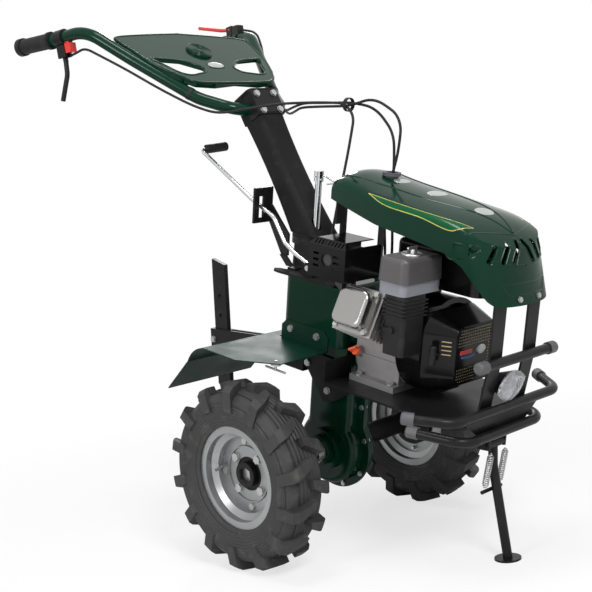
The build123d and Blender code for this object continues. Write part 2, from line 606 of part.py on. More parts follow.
def make_column():
    frame = column_frame()
    shell = frame * column_body(0)
    shell -= frame * column_body(COLUMN_T)
    floor_z = NECK_TOP_Z + RUN_GAP
    shell -= bar(-400, 200, -200, 200, floor_z - 200, floor_z + SWIVEL_T - 1)
    foot = drum(NECK_X, 0, floor_z, NECK_R, SWIVEL_T)
    foot += bar(NECK_X - 20, PIN_X + 24, -36, 36, floor_z, floor_z + SWIVEL_T)
    column = shell + foot
    column -= drum(NECK_X, 0, floor_z - 1, SWIVEL_PIN_R + BORE_GAP, SWIVEL_T + 2)
    column -= drum(PIN_X, PIN_Y, floor_z - 1, PIN_R + BORE_GAP, 400)
    column -= drum(PIN_X, PIN_Y, floor_z + SWIVEL_T + 6, PIN_R + RUN_GAP + 3, 200)
    # saddle for the handlebar, closed by the clamp cap
    saddle = frame * Pos(0, 0, CLAMP_AT) * Box(COLUMN_D[2] - 8, COLUMN_W - 4, 60)
    column += saddle
    bore = frame * Pos(0, 0, CLAMP_AT) * (Rot(90, 0, 0) * Cylinder(HANDLE_R + WELD_GAP, 200))
    column -= bore
    cut = frame * Pos(40 + WELD_GAP, 0, CLAMP_AT) * Box(80, 200, 64)
    cap_blank = frame * Pos(17, 0, CLAMP_AT) * Box(34, COLUMN_W, 62)
    column -= cut
    cap = cap_blank - bore - (frame * Pos(-20 + WELD_GAP, 0, CLAMP_AT) * Box(40, 200, 80))
    cap = fillet(cap.edges().filter_by(Axis.Y).sort_by(Axis.X)[-2:], 6)
    for y in (-27, 27):
        for up in (-22, 22):
            seat = frame.from_local_coords((34 + WELD_GAP, y, CLAMP_AT + up))
            bolt = hex_bolt(seat, frame.x_dir, M8, 50)
            hole = Plane(origin=seat, z_dir=frame.x_dir) * Pos(0, 0, -20) * Cylinder(M8 + BORE_GAP, 68)
            cap -= hole
            column -= hole
            node("column_bolts", bolt)
    node("steering_column", column)
    node("handlebar_clamp", cap)


def make_locking_pin():
    """Pin that locks the swivel, with a pull ring through its head."""
    start = NECK_TOP_Z + RUN_GAP + 0.5
    pin = drum(PIN_X, PIN_Y, start, PIN_R, PIN_TOP_Z - start - 6)
    pin += drum(PIN_X, PIN_Y, PIN_TOP_Z - 24, PIN_R + 3, 24)
    low, high = PIN_TOP_Z - 24, PIN_TOP_Z - 12
    pin -= rod((PIN_X, PIN_Y - 30, high), (0, 1, 0), 2 + BORE_GAP, 60)
    ring = swept([(PIN_X, PIN_Y - 16, high), (PIN_X, PIN_Y + 16, high), (PIN_X + 40, PIN_Y + 16, low),
                  (PIN_X + 40, PIN_Y - 16, low)], [8.0, 10.0], 2.0)
    node("locking_pin", pin, ring)


# ---------------------------------------------------------------- handlebar, panel and controls
def handle_route():
    right = HANDLE_HALF
    left = [(x, -y, z) for x, y, z in reversed(right)]
    return left + right


def make_handlebar():
    route = handle_route()
    tube = swept(route, HANDLE_BENDS + HANDLE_BENDS[::-1], HANDLE_R, HANDLE_R - HANDLE_T)
    node("handlebar", tube)
    end = Vector(*HANDLE_HALF[-1])
    along = (end - Vector(*HANDLE_HALF[-2])).normalized()
    start = end - along * (GRIP_L - 6)
    grip = rod(start, along, GRIP_R, GRIP_L)
    grip += rod(start, along, GRIP_R + 2.5, 9)
    grip += rod((end - along * 8), along, GRIP_R + 3, 14)
    grip -= rod((start - along), along, HANDLE_R + WELD_GAP, GRIP_L - 5)
    node("grips", grip, mirrored(grip))



# ---------------------------------------------------------------- engine
CRANK_Z = BASE_Z + CRANK_H


def head_frame(distance):
    """Plane across the cylinder at a distance from the crankshaft; X stays the machine's X."""
    tilt = math.radians(HEAD_TILT)
    out = (0, -math.cos(tilt), math.sin(tilt))
    origin = (CYL_X, out[1] * distance, CRANK_Z + out[2] * distance)
    return Plane(origin=origin, x_dir=(1, 0, 0), z_dir=out)


def make_crankcase():
    case = bar(ENGINE_X0, ENGINE_X1, -70, 70, BASE_Z + 16, CRANK_Z + 66)
    case = fillet(case.edges().filter_by(Axis.X), 26)
    case += bar(ENGINE_X0 + 6, ENGINE_X1 - 6, -95, 95, BASE_Z + WELD_GAP, BASE_Z + 14)
    case += bar(ENGINE_X0 + 10, ENGINE_X1 - 10, -74, 74, BASE_Z + 10, BASE_Z + 60)
    flange = rod((CLUTCH_FACE_X + WELD_GAP, 0, CRANK_Z), (1, 0, 0), CLUTCH_R, 12)
    case += flange
    case += head_frame(30) * Pos(0, 0, (HEAD_R0 - 30) / 2) * Cylinder(48, HEAD_R0 - 30)
    for x in (ENGINE_X0 + 24, ENGINE_X1 - 24):
        for y in (-FOOT_BOLT_Y, FOOT_BOLT_Y):
            case -= drum(x, y, BASE_Z - 1, M8 + BORE_GAP, 20)
            node("chassis_bolts", hex_bolt((x, y, BASE_Z + 14 + WELD_GAP), (0, 0, 1), M8, 14 + BASE_T + 4))
    case -= rod((-10, 0, CRANK_Z), (1, 0, 0), CRANK_R + BORE_GAP, 400)
    seat, out = Vector(*DIPSTICK_SEAT), Vector(*DIPSTICK_OUT).normalized()
    case += rod(seat - out * 30, out, 10, 30)
    case -= rod(seat - out * 52, out, 5 + BORE_GAP, 60)
    node("crankcase", case)


def make_cylinder():
    """Finned cylinder and head leaning to the right, with its cover."""
    depth = HEAD_R1 - HEAD_R0
    frame = head_frame(HEAD_R0 + WELD_GAP)
    block = frame * Pos(0, 0, depth / 2) * Box(84, 84, depth - 2 * WELD_GAP)
    fin_count = 7
    for step in range(fin_count):
        height = 6 + step * (depth - 12) / (fin_count - 1)
        block += frame * Pos(0, 0, height) * Box(104, 100, 3)
    node("cylinder_head", block)
    seat = head_frame(HEAD_R1)
    lid = extrude(seat * RectangleRounded(92, 96, 14), 4)
    dome = extrude(seat * Pos(0, 0, 0) * RectangleRounded(80, 82, 20), COVER_H)
    dome = fillet(dome.faces().sort_by(Axis(seat.origin, seat.z_dir))[-1].edges(), 8)
    cover = lid + dome
    for x in (-39, 39):
        for across in (-41, 41):
            place = seat.from_local_coords((x, across, 4 + WELD_GAP))
            cover -= Plane(origin=place, z_dir=seat.z_dir) * Pos(0, 0, -4) * Cylinder(M6 + BORE_GAP, 14)
            node("chassis_bolts", hex_bolt(place, seat.z_dir, M6, 4))
    node("valve_cover", cover)


def make_muffler():
    (x0, x1), (y0, y1), (z0, z1) = MUFF_BOX
    box = bar(x0, x1, y0, y1, z0, z1)
    outer = chamfer(box.edges().group_by(Axis.Z)[-1], 13)
    inner = bar(x0 + 2, x1 - 2, y0 + 2, y1 + 5, z0 - 1, z1 - 2)
    inner = chamfer(inner.edges().group_by(Axis.Z)[-1].sort_by(Axis.Y)[0], 12)
    guard = outer - inner
    for step in range(9):
        x = x0 + 16 + step * 9.2
        guard -= Pos(x, y0 + 6, z1 - 6) * (Rot(45, 0, 0) * Box(4, 12, 10))
    for row in range(3):
        guard -= bar(x1 - 34, x1 - 14, y0 - 1, y0 + 4, z0 + 22 + row * 13, z0 + 27 + row * 13)
        guard -= bar(x0 + 14, x0 + 30, y0 - 1, y0 + 4, z0 + 22 + row * 13, z0 + 27 + row * 13)
    guard -= rod(((x0 + x1) / 2, y0 - 2, z0 + 40), (0, 1, 0), 15, 8)
    node("muffler_guard", guard)
    mid_x = (x0 + x1) / 2
    drum_body = rod((x0 + 10, (y0 + y1) / 2, (z0 + z1) / 2 - 4), (1, 0, 0), 33, x1 - x0 - 20)
    drum_body += rod((mid_x, (y0 + y1) / 2, z0 + 40), (0, -1, 0), 12, (y1 - y0) / 2 - 4)
    elbow = [(mid_x - 8, (y0 + y1) / 2, z0 + 20), (mid_x - 8, (y0 + y1) / 2, z0 - 22),
             (CYL_X - 52 - WELD_GAP, (y0 + y1) / 2, z0 - 22)]
    drum_body += swept(elbow, [18.0], 13)
    flange_x = CYL_X - 52 - WELD_GAP
    drum_body += bar(flange_x - 5, flange_x, (y0 + y1) / 2 - 22, (y0 + y1) / 2 + 22, z0 - 40, z0 - 8)
    for x in (x0 + 26, x1 - 26):
        drum_body += bar(x - 8, x + 8, (y0 + y1) / 2 - 12, (y0 + y1) / 2 + 12, z0 + 60, z1 - 2 - WELD_GAP)
    node("muffler", drum_body)


def make_air_side():
    """Air cleaner over its intake cover."""
    (x0, x1), (y0, y1) = FILTER_X, FILTER_Y
    low, seam, top = FILTER_Z
    mid = Pos((x0 + x1) / 2, (y0 + y1) / 2, 0)
    base = extrude(mid * Pos(0, 0, low) * RectangleRounded(x1 - x0 - 6, y1 - y0 - 6, 14), seam - low)
    node("air_cleaner_base", base)
    cover = extrude(mid * Pos(0, 0, seam + WELD_GAP) * RectangleRounded(x1 - x0, y1 - y0, 16), top - seam,
                    taper=3)
    cover = fillet(cover.edges().group_by(Axis.Z)[-1], 9)
    knob_x, knob_y = (x0 + x1) / 2, (y0 + y1) / 2
    cover -= drum(knob_x, knob_y, seam - 1, M6 + BORE_GAP, 80)
    node("air_cleaner_cover", cover)
    knob_z = top + 2 * WELD_GAP
    knob = drum(knob_x, knob_y, knob_z, 21, 2.5) + drum(knob_x, knob_y, knob_z, 7, 10)
    knob += drum(knob_x, knob_y, knob_z - 20, M6, 24)
    knob += bar(knob_x - 2, knob_x + 2, knob_y - 14, knob_y + 14, knob_z + 4, knob_z + 16)
    node("air_cleaner_cover", knob)
    cx0, cx1 = x0 + 16, x1 - 6
    body = bar(cx0, cx1, y0 + 14, y0 + 84, 320, low - WELD_GAP)
    body = fillet(body.edges().filter_by(Axis.Z), 10)
    for row in range(5):
        z = low - 14 - row * 8
        body += Pos((cx0 + cx1) / 2, y0 + 49, z) * Box(cx1 - cx0 + 4, 74, 3)
    body -= rod((CHOKE_AT[0], y0, CHOKE_AT[1]), (0, 1, 0), M6 + BORE_GAP, 31)
    body -= rod((0, 0, CRANK_Z), (1, 0, 0), FAN_R + WELD_GAP, 600)
    body -= bar(0, 500, -88 - WELD_GAP, 100, 300, CRANK_Z + 96 + WELD_GAP)
    node("intake_cover", body)


def make_recoil():
    """Blower housing, recoil starter cover, starter handle and choke lever."""
    ring = rod((ENGINE_X1 + WELD_GAP, 0, CRANK_Z), (1, 0, 0), FAN_R, FAN_X1 - ENGINE_X1 - WELD_GAP)
    shroud = ring & bar(0, 500, -FAN_R, FAN_R, BASE_Z + 8, 500)
    shroud += bar(ENGINE_X1 + WELD_GAP, FAN_X1, -88, 20, CRANK_Z + 30, CRANK_Z + 96)
    hollow = rod((ENGINE_X1 + 4, 0, CRANK_Z), (1, 0, 0), FAN_R - 12, 200)
    shroud -= hollow
    shroud -= rod((ENGINE_X1 - 1, 0, CRANK_Z), (1, 0, 0), CRANK_R + 3, 20)
    node("blower_housing", shroud)
    x0 = FAN_X1 + WELD_GAP
    back = Plane(origin=(x0, 0, CRANK_Z), x_dir=(0, 1, 0), z_dir=(1, 0, 0))
    front = Plane(origin=(RECOIL_X, 6, CRANK_Z), x_dir=(0, 1, 0), z_dir=(1, 0, 0))
    cover = loft([back * RectangleRounded(196, 176, 50), front * RectangleRounded(138, 124, 22)])
    cover = fillet(cover.faces().sort_by(Axis.X)[-1].edges(), 4)
    inner_back = back.offset(-1)
    cover -= loft([inner_back * RectangleRounded(186, 166, 46),
                   front.offset(-4) * RectangleRounded(130, 116, 18)])
    for row in range(5):
        for column in range(12):
            y, z = -48 + column * 10, CRANK_Z + 50 - row * 6
            if row < 3:
                cover -= rod((RECOIL_X - 6, y, z), (1, 0, 0), 1.6, 10)
    cover -= rod((STARTER_AT[0], -200, STARTER_AT[1]), (0, 1, 0), 2.5 + RUN_GAP, 150)
    node("recoil_cover", cover)


# ---------------------------------------------------------------- engine tray, bumper, stand
def make_base_plate():
    half = BASE_HALF_W
    outline = [(BASE_X0, -half), (330, -half), (400, -136), (BASE_X1, -96), (BASE_X1, 96), (400, 136),
               (330, half), (BASE_X0, half)]
    plate = flat_plate(outline, BASE_Z - BASE_T, BASE_T)
    plate = fillet(plate.edges().filter_by(Axis.Z).sort_by(Axis.X)[2:], 24)
    for side in (-1, 1):
        wall_y0, wall_y1 = sorted((side * half, side * (GUSSET_Y + 6)))
        plate += bar(BASE_X0, BASE_X0 + 4, wall_y0, wall_y1, BASE_Z - BASE_T, BASE_Z + 46)
    for x in (ENGINE_X0 + 24, ENGINE_X1 - 24):
        for y in (-FOOT_BOLT_Y, FOOT_BOLT_Y):
            plate -= drum(x, y, BASE_Z - 20, M8 + BORE_GAP, 40)
    node("engine_base_plate", plate)


def make_bumper():
    x, foot_x, t = UPRIGHT_X, UPRIGHT_FOOT_X, UPRIGHT_T
    foot_z = BASE_Z + WELD_GAP
    profile = [(x - t / 2, UPRIGHT_TOP_Z), (x + t / 2, UPRIGHT_TOP_Z), (x + t / 2, UPRIGHT_BEND_Z),
               (foot_x + t / 2, 226), (foot_x + t / 2, foot_z), (foot_x - t / 2, foot_z),
               (foot_x - t / 2, 226), (x - t / 2, UPRIGHT_BEND_Z)]
    upright_bar = side_plate(profile, UPRIGHT_Y - UPRIGHT_W / 2, UPRIGHT_W)
    tube_z = UPRIGHT_BEND_Z + 4
    tube_x = x + t / 2 + WELD_GAP + BUMP_TUBE_R
    node("bumper_frame", upright_bar, mirrored(upright_bar))
    top = rod((tube_x, -TOP_TUBE_HALF, tube_z), (0, 1, 0), BUMP_TUBE_R, 2 * TOP_TUBE_HALF)
    top -= rod((tube_x, -200, tube_z), (0, 1, 0), BUMP_TUBE_R - 2, 400)
    node("bumper_tubes", top)
    plate_x = foot_x + t / 2 + WELD_GAP
    trapezoid = Plane(origin=(plate_x, 0, 0), x_dir=(0, 1, 0), z_dir=(1, 0, 0)) * make_face(
        Polyline((-150, 231), (-58, 158), (58, 158), (150, 231), close=True))
    node("bumper_frame", extrude(trapezoid, HOOP_PLATE_T))
    hoop_x = plate_x + HOOP_PLATE_T + WELD_GAP + BUMP_TUBE_R
    for z, end_x, end_y, wide in ((HOOP_Z[0], 372, 232, 178), (HOOP_Z[1], 338, 168, 132)):
        route = [(end_x, -end_y, z), (hoop_x, -wide, z), (hoop_x, wide, z), (end_x, end_y, z)]
        node("bumper_tubes", swept(route, [46.0, 46.0], BUMP_TUBE_R, BUMP_TUBE_R - 2))
        for side in (-1, 1):
            along = (Vector(end_x, side * end_y, z) - Vector(hoop_x, side * wide, z)).normalized()
            node("rubber_fittings", end_cap(Vector(end_x, side * end_y, z), along))
    for side in (-1, 1):
        node("rubber_fittings", end_cap(Vector(tube_x, side * TOP_TUBE_HALF, tube_z), Vector(0, side, 0)))


def end_cap(end, along):
    """Rounded rubber cap pushed over a tube's end."""
    start = end - along * 20
    cap = rod(start, along, BUMP_TUBE_R + 2.5, 26)
    cap = fillet(cap.edges().filter_by(GeomType.CIRCLE).sort_by(Axis(start, along))[-1], 6)
    return cap - rod(start - along, along, BUMP_TUBE_R + WELD_GAP, 21 + WELD_GAP)


def make_stand():
    """Prop stand: bracket under the tray, leg with its foot, and two return springs."""
    top = BASE_Z - BASE_T - WELD_GAP
    front = UPRIGHT_FOOT_X + UPRIGHT_T / 2
    bracket = bar(380, front, -34, 34, top - 5, top)
    for y in (-30, 25):
        bracket += side_plate([(392, top), (front, top), (front, 132), (STAND_X - 14, 128), (400, 160)], y, 5)
    bracket -= rod((STAND_X, -60, STAND_Z), (0, 1, 0), STAND_PIN_R + BORE_GAP, 120)
    node("stand_bracket", bracket)
    foot_world = placed_inverse((FOOT_X, 0, FOOT_T))
    fx, _, fz = foot_world
    pin = rod((STAND_X, -34, STAND_Z), (0, 1, 0), STAND_PIN_R, 68)
    knee = (STAND_X + 6, 0, STAND_Z - 50)
    leg = rod((STAND_X, -24.7, STAND_Z), (0, 1, 0), 12, 49.4)
    leg += swept([(STAND_X, 0, STAND_Z), knee, (fx, 0, fz)], [60.0], LEG_R)
    foot_plane = Plane(origin=(fx, 0, fz), x_dir=NOSE_X, z_dir=NOSE_Z)
    leg += foot_plane * Pos(0, 0, -FOOT_T) * Cylinder(FOOT_R, FOOT_T, align=(Align.CENTER,) * 2 + (Align.MIN,))
    leg += pin
    leg += rod((SPRING_LOW[0], -SPRING_Y - 8, SPRING_LOW[1]), (0, 1, 0), 4, 2 * SPRING_Y + 16)
    node("stand_leg", leg)




def make_stand_springs():
    for side in (-1, 1):
        low = Vector(SPRING_LOW[0], side * SPRING_Y, SPRING_LOW[1])
        high = Vector(SPRING_HIGH[0], side * SPRING_Y, SPRING_HIGH[1])
        along = (high - low).normalized()
        start = low + along * (4 + RUN_GAP + 6)
        length = (high - low).length - 2 * (4 + RUN_GAP + 6)
        body = rod(start, along, SPRING_R, length)
        for at, way in ((start, along * -1), (start + along * length, along)):
            body += rod(at, way, 1.6, 6)
        node("stand_springs", body)


def headlight_outline(grow):
    """Pointed oval of the headlight, in its own plane."""
    half_w, half_h = HEADLIGHT_W / 2 + grow, HEADLIGHT_H / 2 + grow
    upper = ThreePointArc((-half_w, -half_h * 0.35), (-half_w * 0.1, half_h), (half_w, half_h * 0.35))
    lower = ThreePointArc((half_w, half_h * 0.35), (half_w * 0.1, -half_h), (-half_w, -half_h * 0.35))
    return make_face([upper, lower])


def make_headlight():
    x, z = HEADLIGHT_AT
    face = Plane(origin=(x, 0, z), x_dir=(0, 1, 0), z_dir=(1, 0, 0)).rotated((0, 0, 0))
    shell = loft([face.offset(-34) * Circle(18), face * headlight_outline(0)])
    shell -= loft([face.offset(-31) * Circle(15), face.offset(0.01) * headlight_outline(-3)])
    shell += bar(x - 21, x - 17, -UPRIGHT_Y - 12, UPRIGHT_Y + 12, z - 15, z + 5)
    node("headlight_shell", shell)
    lens = extrude(face.offset(WELD_GAP) * headlight_outline(0), 5)
    lens = fillet(lens.faces().sort_by(Axis.X)[-1].edges(), 3)
    node("headlight_lens", lens)


# ---------------------------------------------------------------- hitch
def hitch_frame():
    tilt = math.radians(HITCH_TILT)
    return Plane(origin=(HITCH_X, 0, HITCH_Z), x_dir=(math.cos(tilt), 0, math.sin(tilt)),
                 z_dir=(-math.sin(tilt), 0, math.cos(tilt)))


def make_hitch():
    """Rear hitch: a clevis of two side plates, with the depth bar standing in it."""
    frame = hitch_frame()
    inner = BAR_T / 2 + RUN_GAP
    rear = -BAR_W / 2 - 12
    half_h = HITCH_H / 2
    side = frame * Pos(rear + HITCH_L / 2, inner + HITCH_T / 2, 0) * Box(HITCH_L, HITCH_T, HITCH_H)
    back_wall = frame * Pos(rear + 3, 0, 0) * Box(6, 2 * inner, HITCH_H)
    front_wall = frame * Pos(BAR_W / 2 + RUN_GAP + 3, 0, 0) * Box(6, 2 * inner, HITCH_H)
    bracket = side + mirrored(side) + front_wall + back_wall
    flange = side_plate([(-190, 150), (-88, 150), (-88, 228), (-190, 222)], inner + HITCH_T, CASE_DEPTH + 8
                        - inner - HITCH_T)
    root = bar(UPPER_X0 - 40, -60, -CASE_DEPTH - 6, CASE_DEPTH + 6, 168, 216)
    keep_out = extrude(case_outline(SEAM_FLANGE + WELD_GAP, CASE_TOP_Z + 1), amount=100, both=True,
                       dir=(0, 1, 0))
    bracket = bracket + root - keep_out
    clamp_at = frame.from_local_coords((rear + 12 - 1, -inner - HITCH_T - WELD_GAP, -2))
    holes = []
    for step in HITCH_FREE_HOLES:
        place = frame.from_local_coords((step, -60, 0))
        bracket -= rod(place, (0, 1, 0), HITCH_HOLE_R, 120)
    set_bolt = hex_bolt(clamp_at, (0, -1, 0), M8, HITCH_T - 0.5)
    bracket -= rod(clamp_at, (0, 1, 0), M8 + BORE_GAP, HITCH_T + WELD_GAP)
    node("hitch_bracket", bracket)
    node("chassis_bolts", set_bolt)
    up, down = BAR_UP, BAR_DOWN
    outline = frame * Plane.XZ * make_face(Polyline(
        (-BAR_W / 2, -down), (BAR_W / 2, -down), (BAR_W / 2, up - 14), (-BAR_W / 2, up), close=True))
    blade = extrude(outline, amount=BAR_T / 2, both=True)
    for hole_z in BAR_HOLES:
        place = frame.from_local_coords((0, -60, hole_z))
        blade -= rod(place, (0, 1, 0), BAR_HOLE_R, 120)
    node("depth_bar", blade)


# ---------------------------------------------------------------- fuel tank and hood
def make_tank():
    (x0, x1), (y0, y1), (z0, z1) = TANK_X, TANK_Y, TANK_Z
    tank = bar(x0, x1, y0, y1, z0, z1)
    tank = fillet(tank.edges().filter_by(Axis.Z), 26)
    tank = fillet(tank.edges().group_by(Axis.Z)[-1], 14)
    tank -= bar(x0 + 60, x0 + 150, y0 + 40, y1 - 40, z0 + 8, z1 - 8)
    for x in (ENGINE_X0 + 74, ENGINE_X1 - 20):
        tank += bar(x - 10, x + 10, 20, 50, CRANK_Z + 66 + WELD_GAP, z0 + 2)
    neck_x, neck_y = x0 + 150, 30
    tank += drum(neck_x, neck_y, z1 - 2, 20, 8)
    node("fuel_tank", tank)
    cap = drum(neck_x, neck_y, z1 + 6 + WELD_GAP, 26, 12)
    node("fuel_tank", fillet(cap.edges().group_by(Axis.Z)[-1], 3))


def hood_section(x, half, shoulder, crown, margin):
    """Cross-section of the hood in Y and Z: flat sides, round shoulders, crowned top."""
    half, shoulder, crown = half - margin, shoulder - margin, crown - margin
    top = ThreePointArc((half, shoulder), (0, crown), (-half, shoulder))
    sides = Polyline((-half, shoulder), (-half, HOOD_LOW), (half, HOOD_LOW), (half, shoulder))
    outline = make_face([top, sides])
    outline = fillet(outline.vertices().group_by(Axis.Y)[-1], HOOD_SHOULDER_R - margin)
    return Plane(origin=(x, 0, 0), x_dir=(0, 1, 0), z_dir=(1, 0, 0)) * outline


def hood_solid(margin):
    """Hood as a closed form, drawn inwards by a margin."""
    body = loft([hood_section(*station, margin) for station in HOOD_STATIONS])
    lean = math.radians(NOSE_LEAN)
    front = HOOD_X1 + (HOOD_LIP_Z - HOOD_LOW) * math.tan(lean) - margin
    half = HOOD_HALF_W - margin
    bow = Spline((front - 60, half), (front - 34, half - 7), (front - 13, half * 0.66), (front, 0),
                 (front - 13, -half * 0.66), (front - 34, 7 - half), (front - 60, -half))
    plan = make_face([bow, Polyline(bow @ 1, (-200, -half), (-200, half), bow @ 0)])
    nose = extrude(Pos(0, 0, HOOD_LOW) * plan, amount=400, dir=(-math.sin(lean), 0, math.cos(lean)))
    body = body & nose
    return body & bar(HOOD_X0 + margin, 900, -300, 300, HOOD_LOW - 20 + margin, 900)


def make_hood():
    outer = hood_solid(0)
    inner = hood_solid(HOOD_T)
    below = side_plate([(-50, 596), (HOOD_X0, 594), (158, 563), (259, 550), (343, 537), (387, 518),
                        (430, 480), (448, 460), (462, HOOD_LIP_Z), (600, HOOD_LIP_Z), (600, 300), (-50, 300)],
                       -300, 600)
    hood = outer - inner
    hood -= below
    for side in (-1, 1):
        seat, out = hood_bolt_line(side)
        hood -= rod(seat - out * 20, out, M6 + BORE_GAP, 60)
    hood -= drum(*HOOD_HOLE, 500, HOOD_HOLE_R, 300)
    slots = None
    for side in (-1, 1):
        for step in range(SLOT_COUNT):
            y = side * (SLOT_Y0 + step * SLOT_PITCH + SLOT_SLANT / 2)
            tilt = side * math.atan2(SLOT_SLANT, SLOT_H)
            height = SLOT_H / math.cos(tilt) - step * 6
            bar = Box(110, SLOT_W, height)
            bar = fillet(bar.edges().filter_by(Axis.X), SLOT_W * 0.45)
            slot = Pos(455, y, SLOT_Z) * (Rot(math.degrees(tilt), 0, 0) * bar)
            slots = slot if slots is None else slots + slot
    node("hood", hood - slots)


def hood_bolt_line(side):
    """Where a front hood bolt seats on the leaning nose, and the way it points."""
    lean = math.radians(NOSE_LEAN)
    x = HOOD_X1 - (HOOD_BOLT_Z - HOOD_LIP_Z) * math.tan(lean) - NOSE_BOW
    return Vector(x, side * HOOD_BOLT_Y, HOOD_BOLT_Z), Vector(math.cos(lean), 0, math.sin(lean))


def make_hood_brackets():
    """Tabs from the uprights to the hood's front, and an arch under its rear edge."""
    rear_face = UPRIGHT_X + UPRIGHT_T / 2 + WELD_GAP
    arch = bar(ARCH_X, ARCH_X + 4, -90, 90, 540, 760) & hood_solid(HOOD_T + WELD_GAP)
    arch -= bar(ARCH_X - 1, ARCH_X + 5, -56, 56, 500, 606)
    base = UPPER_TOP_Z + WELD_GAP
    for side, foot in ((-1, base + SHIFT_T + WELD_GAP), (1, base)):
        y0, y1 = sorted((side * 56, side * 74))
        leg = bar(ARCH_X, ARCH_X + 4, y0, y1, foot, 560)
        leg += bar(ARCH_X - 16, ARCH_X + 2, y0, y1, foot, foot + 4)
        arch += leg
    node("hood_brackets", arch)
    hood = hood_solid(HOOD_T + WELD_GAP)
    for side in (-1, 1):
        y0, y1 = sorted((side * 20, side * (UPRIGHT_Y + 16)))
        tab = bar(rear_face, 500, y0, y1, HOOD_LIP_Z + 3, HOOD_LIP_Z + 7)
        wall0, wall1 = sorted((side * (UPRIGHT_Y - 14), side * (UPRIGHT_Y + 14)))
        tab += bar(rear_face, rear_face + 4, wall0, wall1, HOOD_LIP_Z + 3, HOOD_LIP_Z + 23)
        tab += bar(HOOD_X1 - 14, 500, side * HOOD_BOLT_Y - 12, side * HOOD_BOLT_Y + 12,
                   HOOD_LIP_Z + 3, HOOD_LIP_Z + 22)
        tab = tab & hood
        seat, out = hood_bolt_line(side)
        tab -= rod(seat - out * 40, out, M6 + BORE_GAP, 80)
        node("hood_brackets", tab)
        node("chassis_bolts", hex_bolt(seat + out * 0.9, out, M6, 18))


# ---------------------------------------------------------------- engine internals and fittings
def make_crankshaft():
    shaft = rod((CLUTCH_FACE_X + 2, 0, CRANK_Z), (1, 0, 0), CRANK_R, ENGINE_X1 + 50 - CLUTCH_FACE_X)
    wheel_x = ENGINE_X1 + 8
    shaft += rod((wheel_x, 0, CRANK_Z), (1, 0, 0), FLYWHEEL_R, 20)
    vane = bar(wheel_x + 19, wheel_x + 34, -3, 3, CRANK_Z + 46, CRANK_Z + FLYWHEEL_R - 4)
    for step in range(FAN_VANES):
        turn = Pos(0, 0, CRANK_Z) * Rot(step * 360 / FAN_VANES, 0, 0) * Pos(0, 0, -CRANK_Z)
        shaft += turn * vane
    shaft += rod((wheel_x + 19, 0, CRANK_Z), (1, 0, 0), 30, 24)
    node("crankshaft", shaft)


def make_engine_fittings():
    """Oil dipstick, starter handle and choke lever."""
    out = Vector(*DIPSTICK_OUT).normalized()
    seat = Vector(*DIPSTICK_SEAT)
    stick = rod(seat + out * WELD_GAP, out, 11, 7)
    stick += rod(seat - out * 50, out, 5, 51)
    stick += Plane(origin=seat + out * 12, x_dir=(1, 0, 0.54), z_dir=out) * Box(24, 5, 12)
    node("oil_dipstick", stick)
    x, z = STARTER_AT
    side = -STARTER_Y
    handle = rod((x, side, z - 21), (0, 0, 1), 7.5, 42)
    handle = fillet(handle.edges().group_by(Axis.Z)[0] + handle.edges().group_by(Axis.Z)[-1], 3)
    handle += rod((x, side, z), (0, 1, 0), 2.5, 34)
    node("starter_handle", handle)
    x, z = CHOKE_AT
    face_y = FILTER_Y[0] + 14
    lever = rod((x, face_y - RUN_GAP, z), (0, -1, 0), 7, 5)
    lever += bar(x - 28, x, face_y - RUN_GAP - 4, face_y - RUN_GAP - 1, z - 4, z + 4)
    lever += rod((x - 28, face_y - RUN_GAP - 1, z), (0, -1, 0), 5, 12)
    lever += rod((x, face_y - 1, z), (0, 1, 0), M6, 14)
    node("choke_lever", lever)


# ---------------------------------------------------------------- panel, levers and cables
def panel_frame():
    tilt = math.radians(PANEL_TILT)
    return Plane(origin=PANEL_AT, x_dir=(math.cos(tilt), 0, -math.sin(tilt)),
                 z_dir=(math.sin(tilt), 0, math.cos(tilt)))


def two_sided(points):
    """Closed outline from the points of one half, rear to front."""
    return points + [(u, -v) for u, v in reversed(points) if v]


def make_panel():
    """Pressed console panel between the handlebar's two tubes."""
    frame = panel_frame()
    outline = make_face(Polyline(*two_sided(PANEL_HALF), close=True))
    outline = fillet(outline.vertices(), 12)
    panel = extrude(frame * outline, -PANEL_RIM) - extrude(frame * Pos(0, 0, -PANEL_T) * offset(
        outline, -PANEL_T), -PANEL_RIM)
    for side in (-1, 1):
        hole = make_face(Polyline(*[(u, side * v) for u, v in PANEL_HOLE], close=True))
        hole = fillet(hole.vertices(), 9)
        lip = extrude(frame * offset(hole, PANEL_T), -10)
        panel += lip
        panel -= extrude(frame * Pos(0, 0, 5) * hole, -30)
        tab = frame * Pos(104, side * 138, -PANEL_T - 11) * Box(16, 22, 23)
        tab += frame * Pos(-30, side * 205, -PANEL_T - 5) * Box(16, 18, 11)
        panel += tab
    boss = frame * Pos(-20, 0, 0) * Cylinder(34, 6, align=(Align.CENTER, Align.CENTER, Align.MIN))
    panel += fillet(boss.edges().filter_by(GeomType.CIRCLE).sort_by(Axis(frame.origin, frame.z_dir))[-1], 4)
    badge = frame * Pos(52, -2, -1) * extrude(RectangleRounded(26, 46, 6), 2.2)
    panel += badge
    panel -= swept(handle_route(), HANDLE_BENDS + HANDLE_BENDS[::-1], HANDLE_R + WELD_GAP)
    node("console_panel", panel.solids().sort_by(SortBy.VOLUME)[-1])


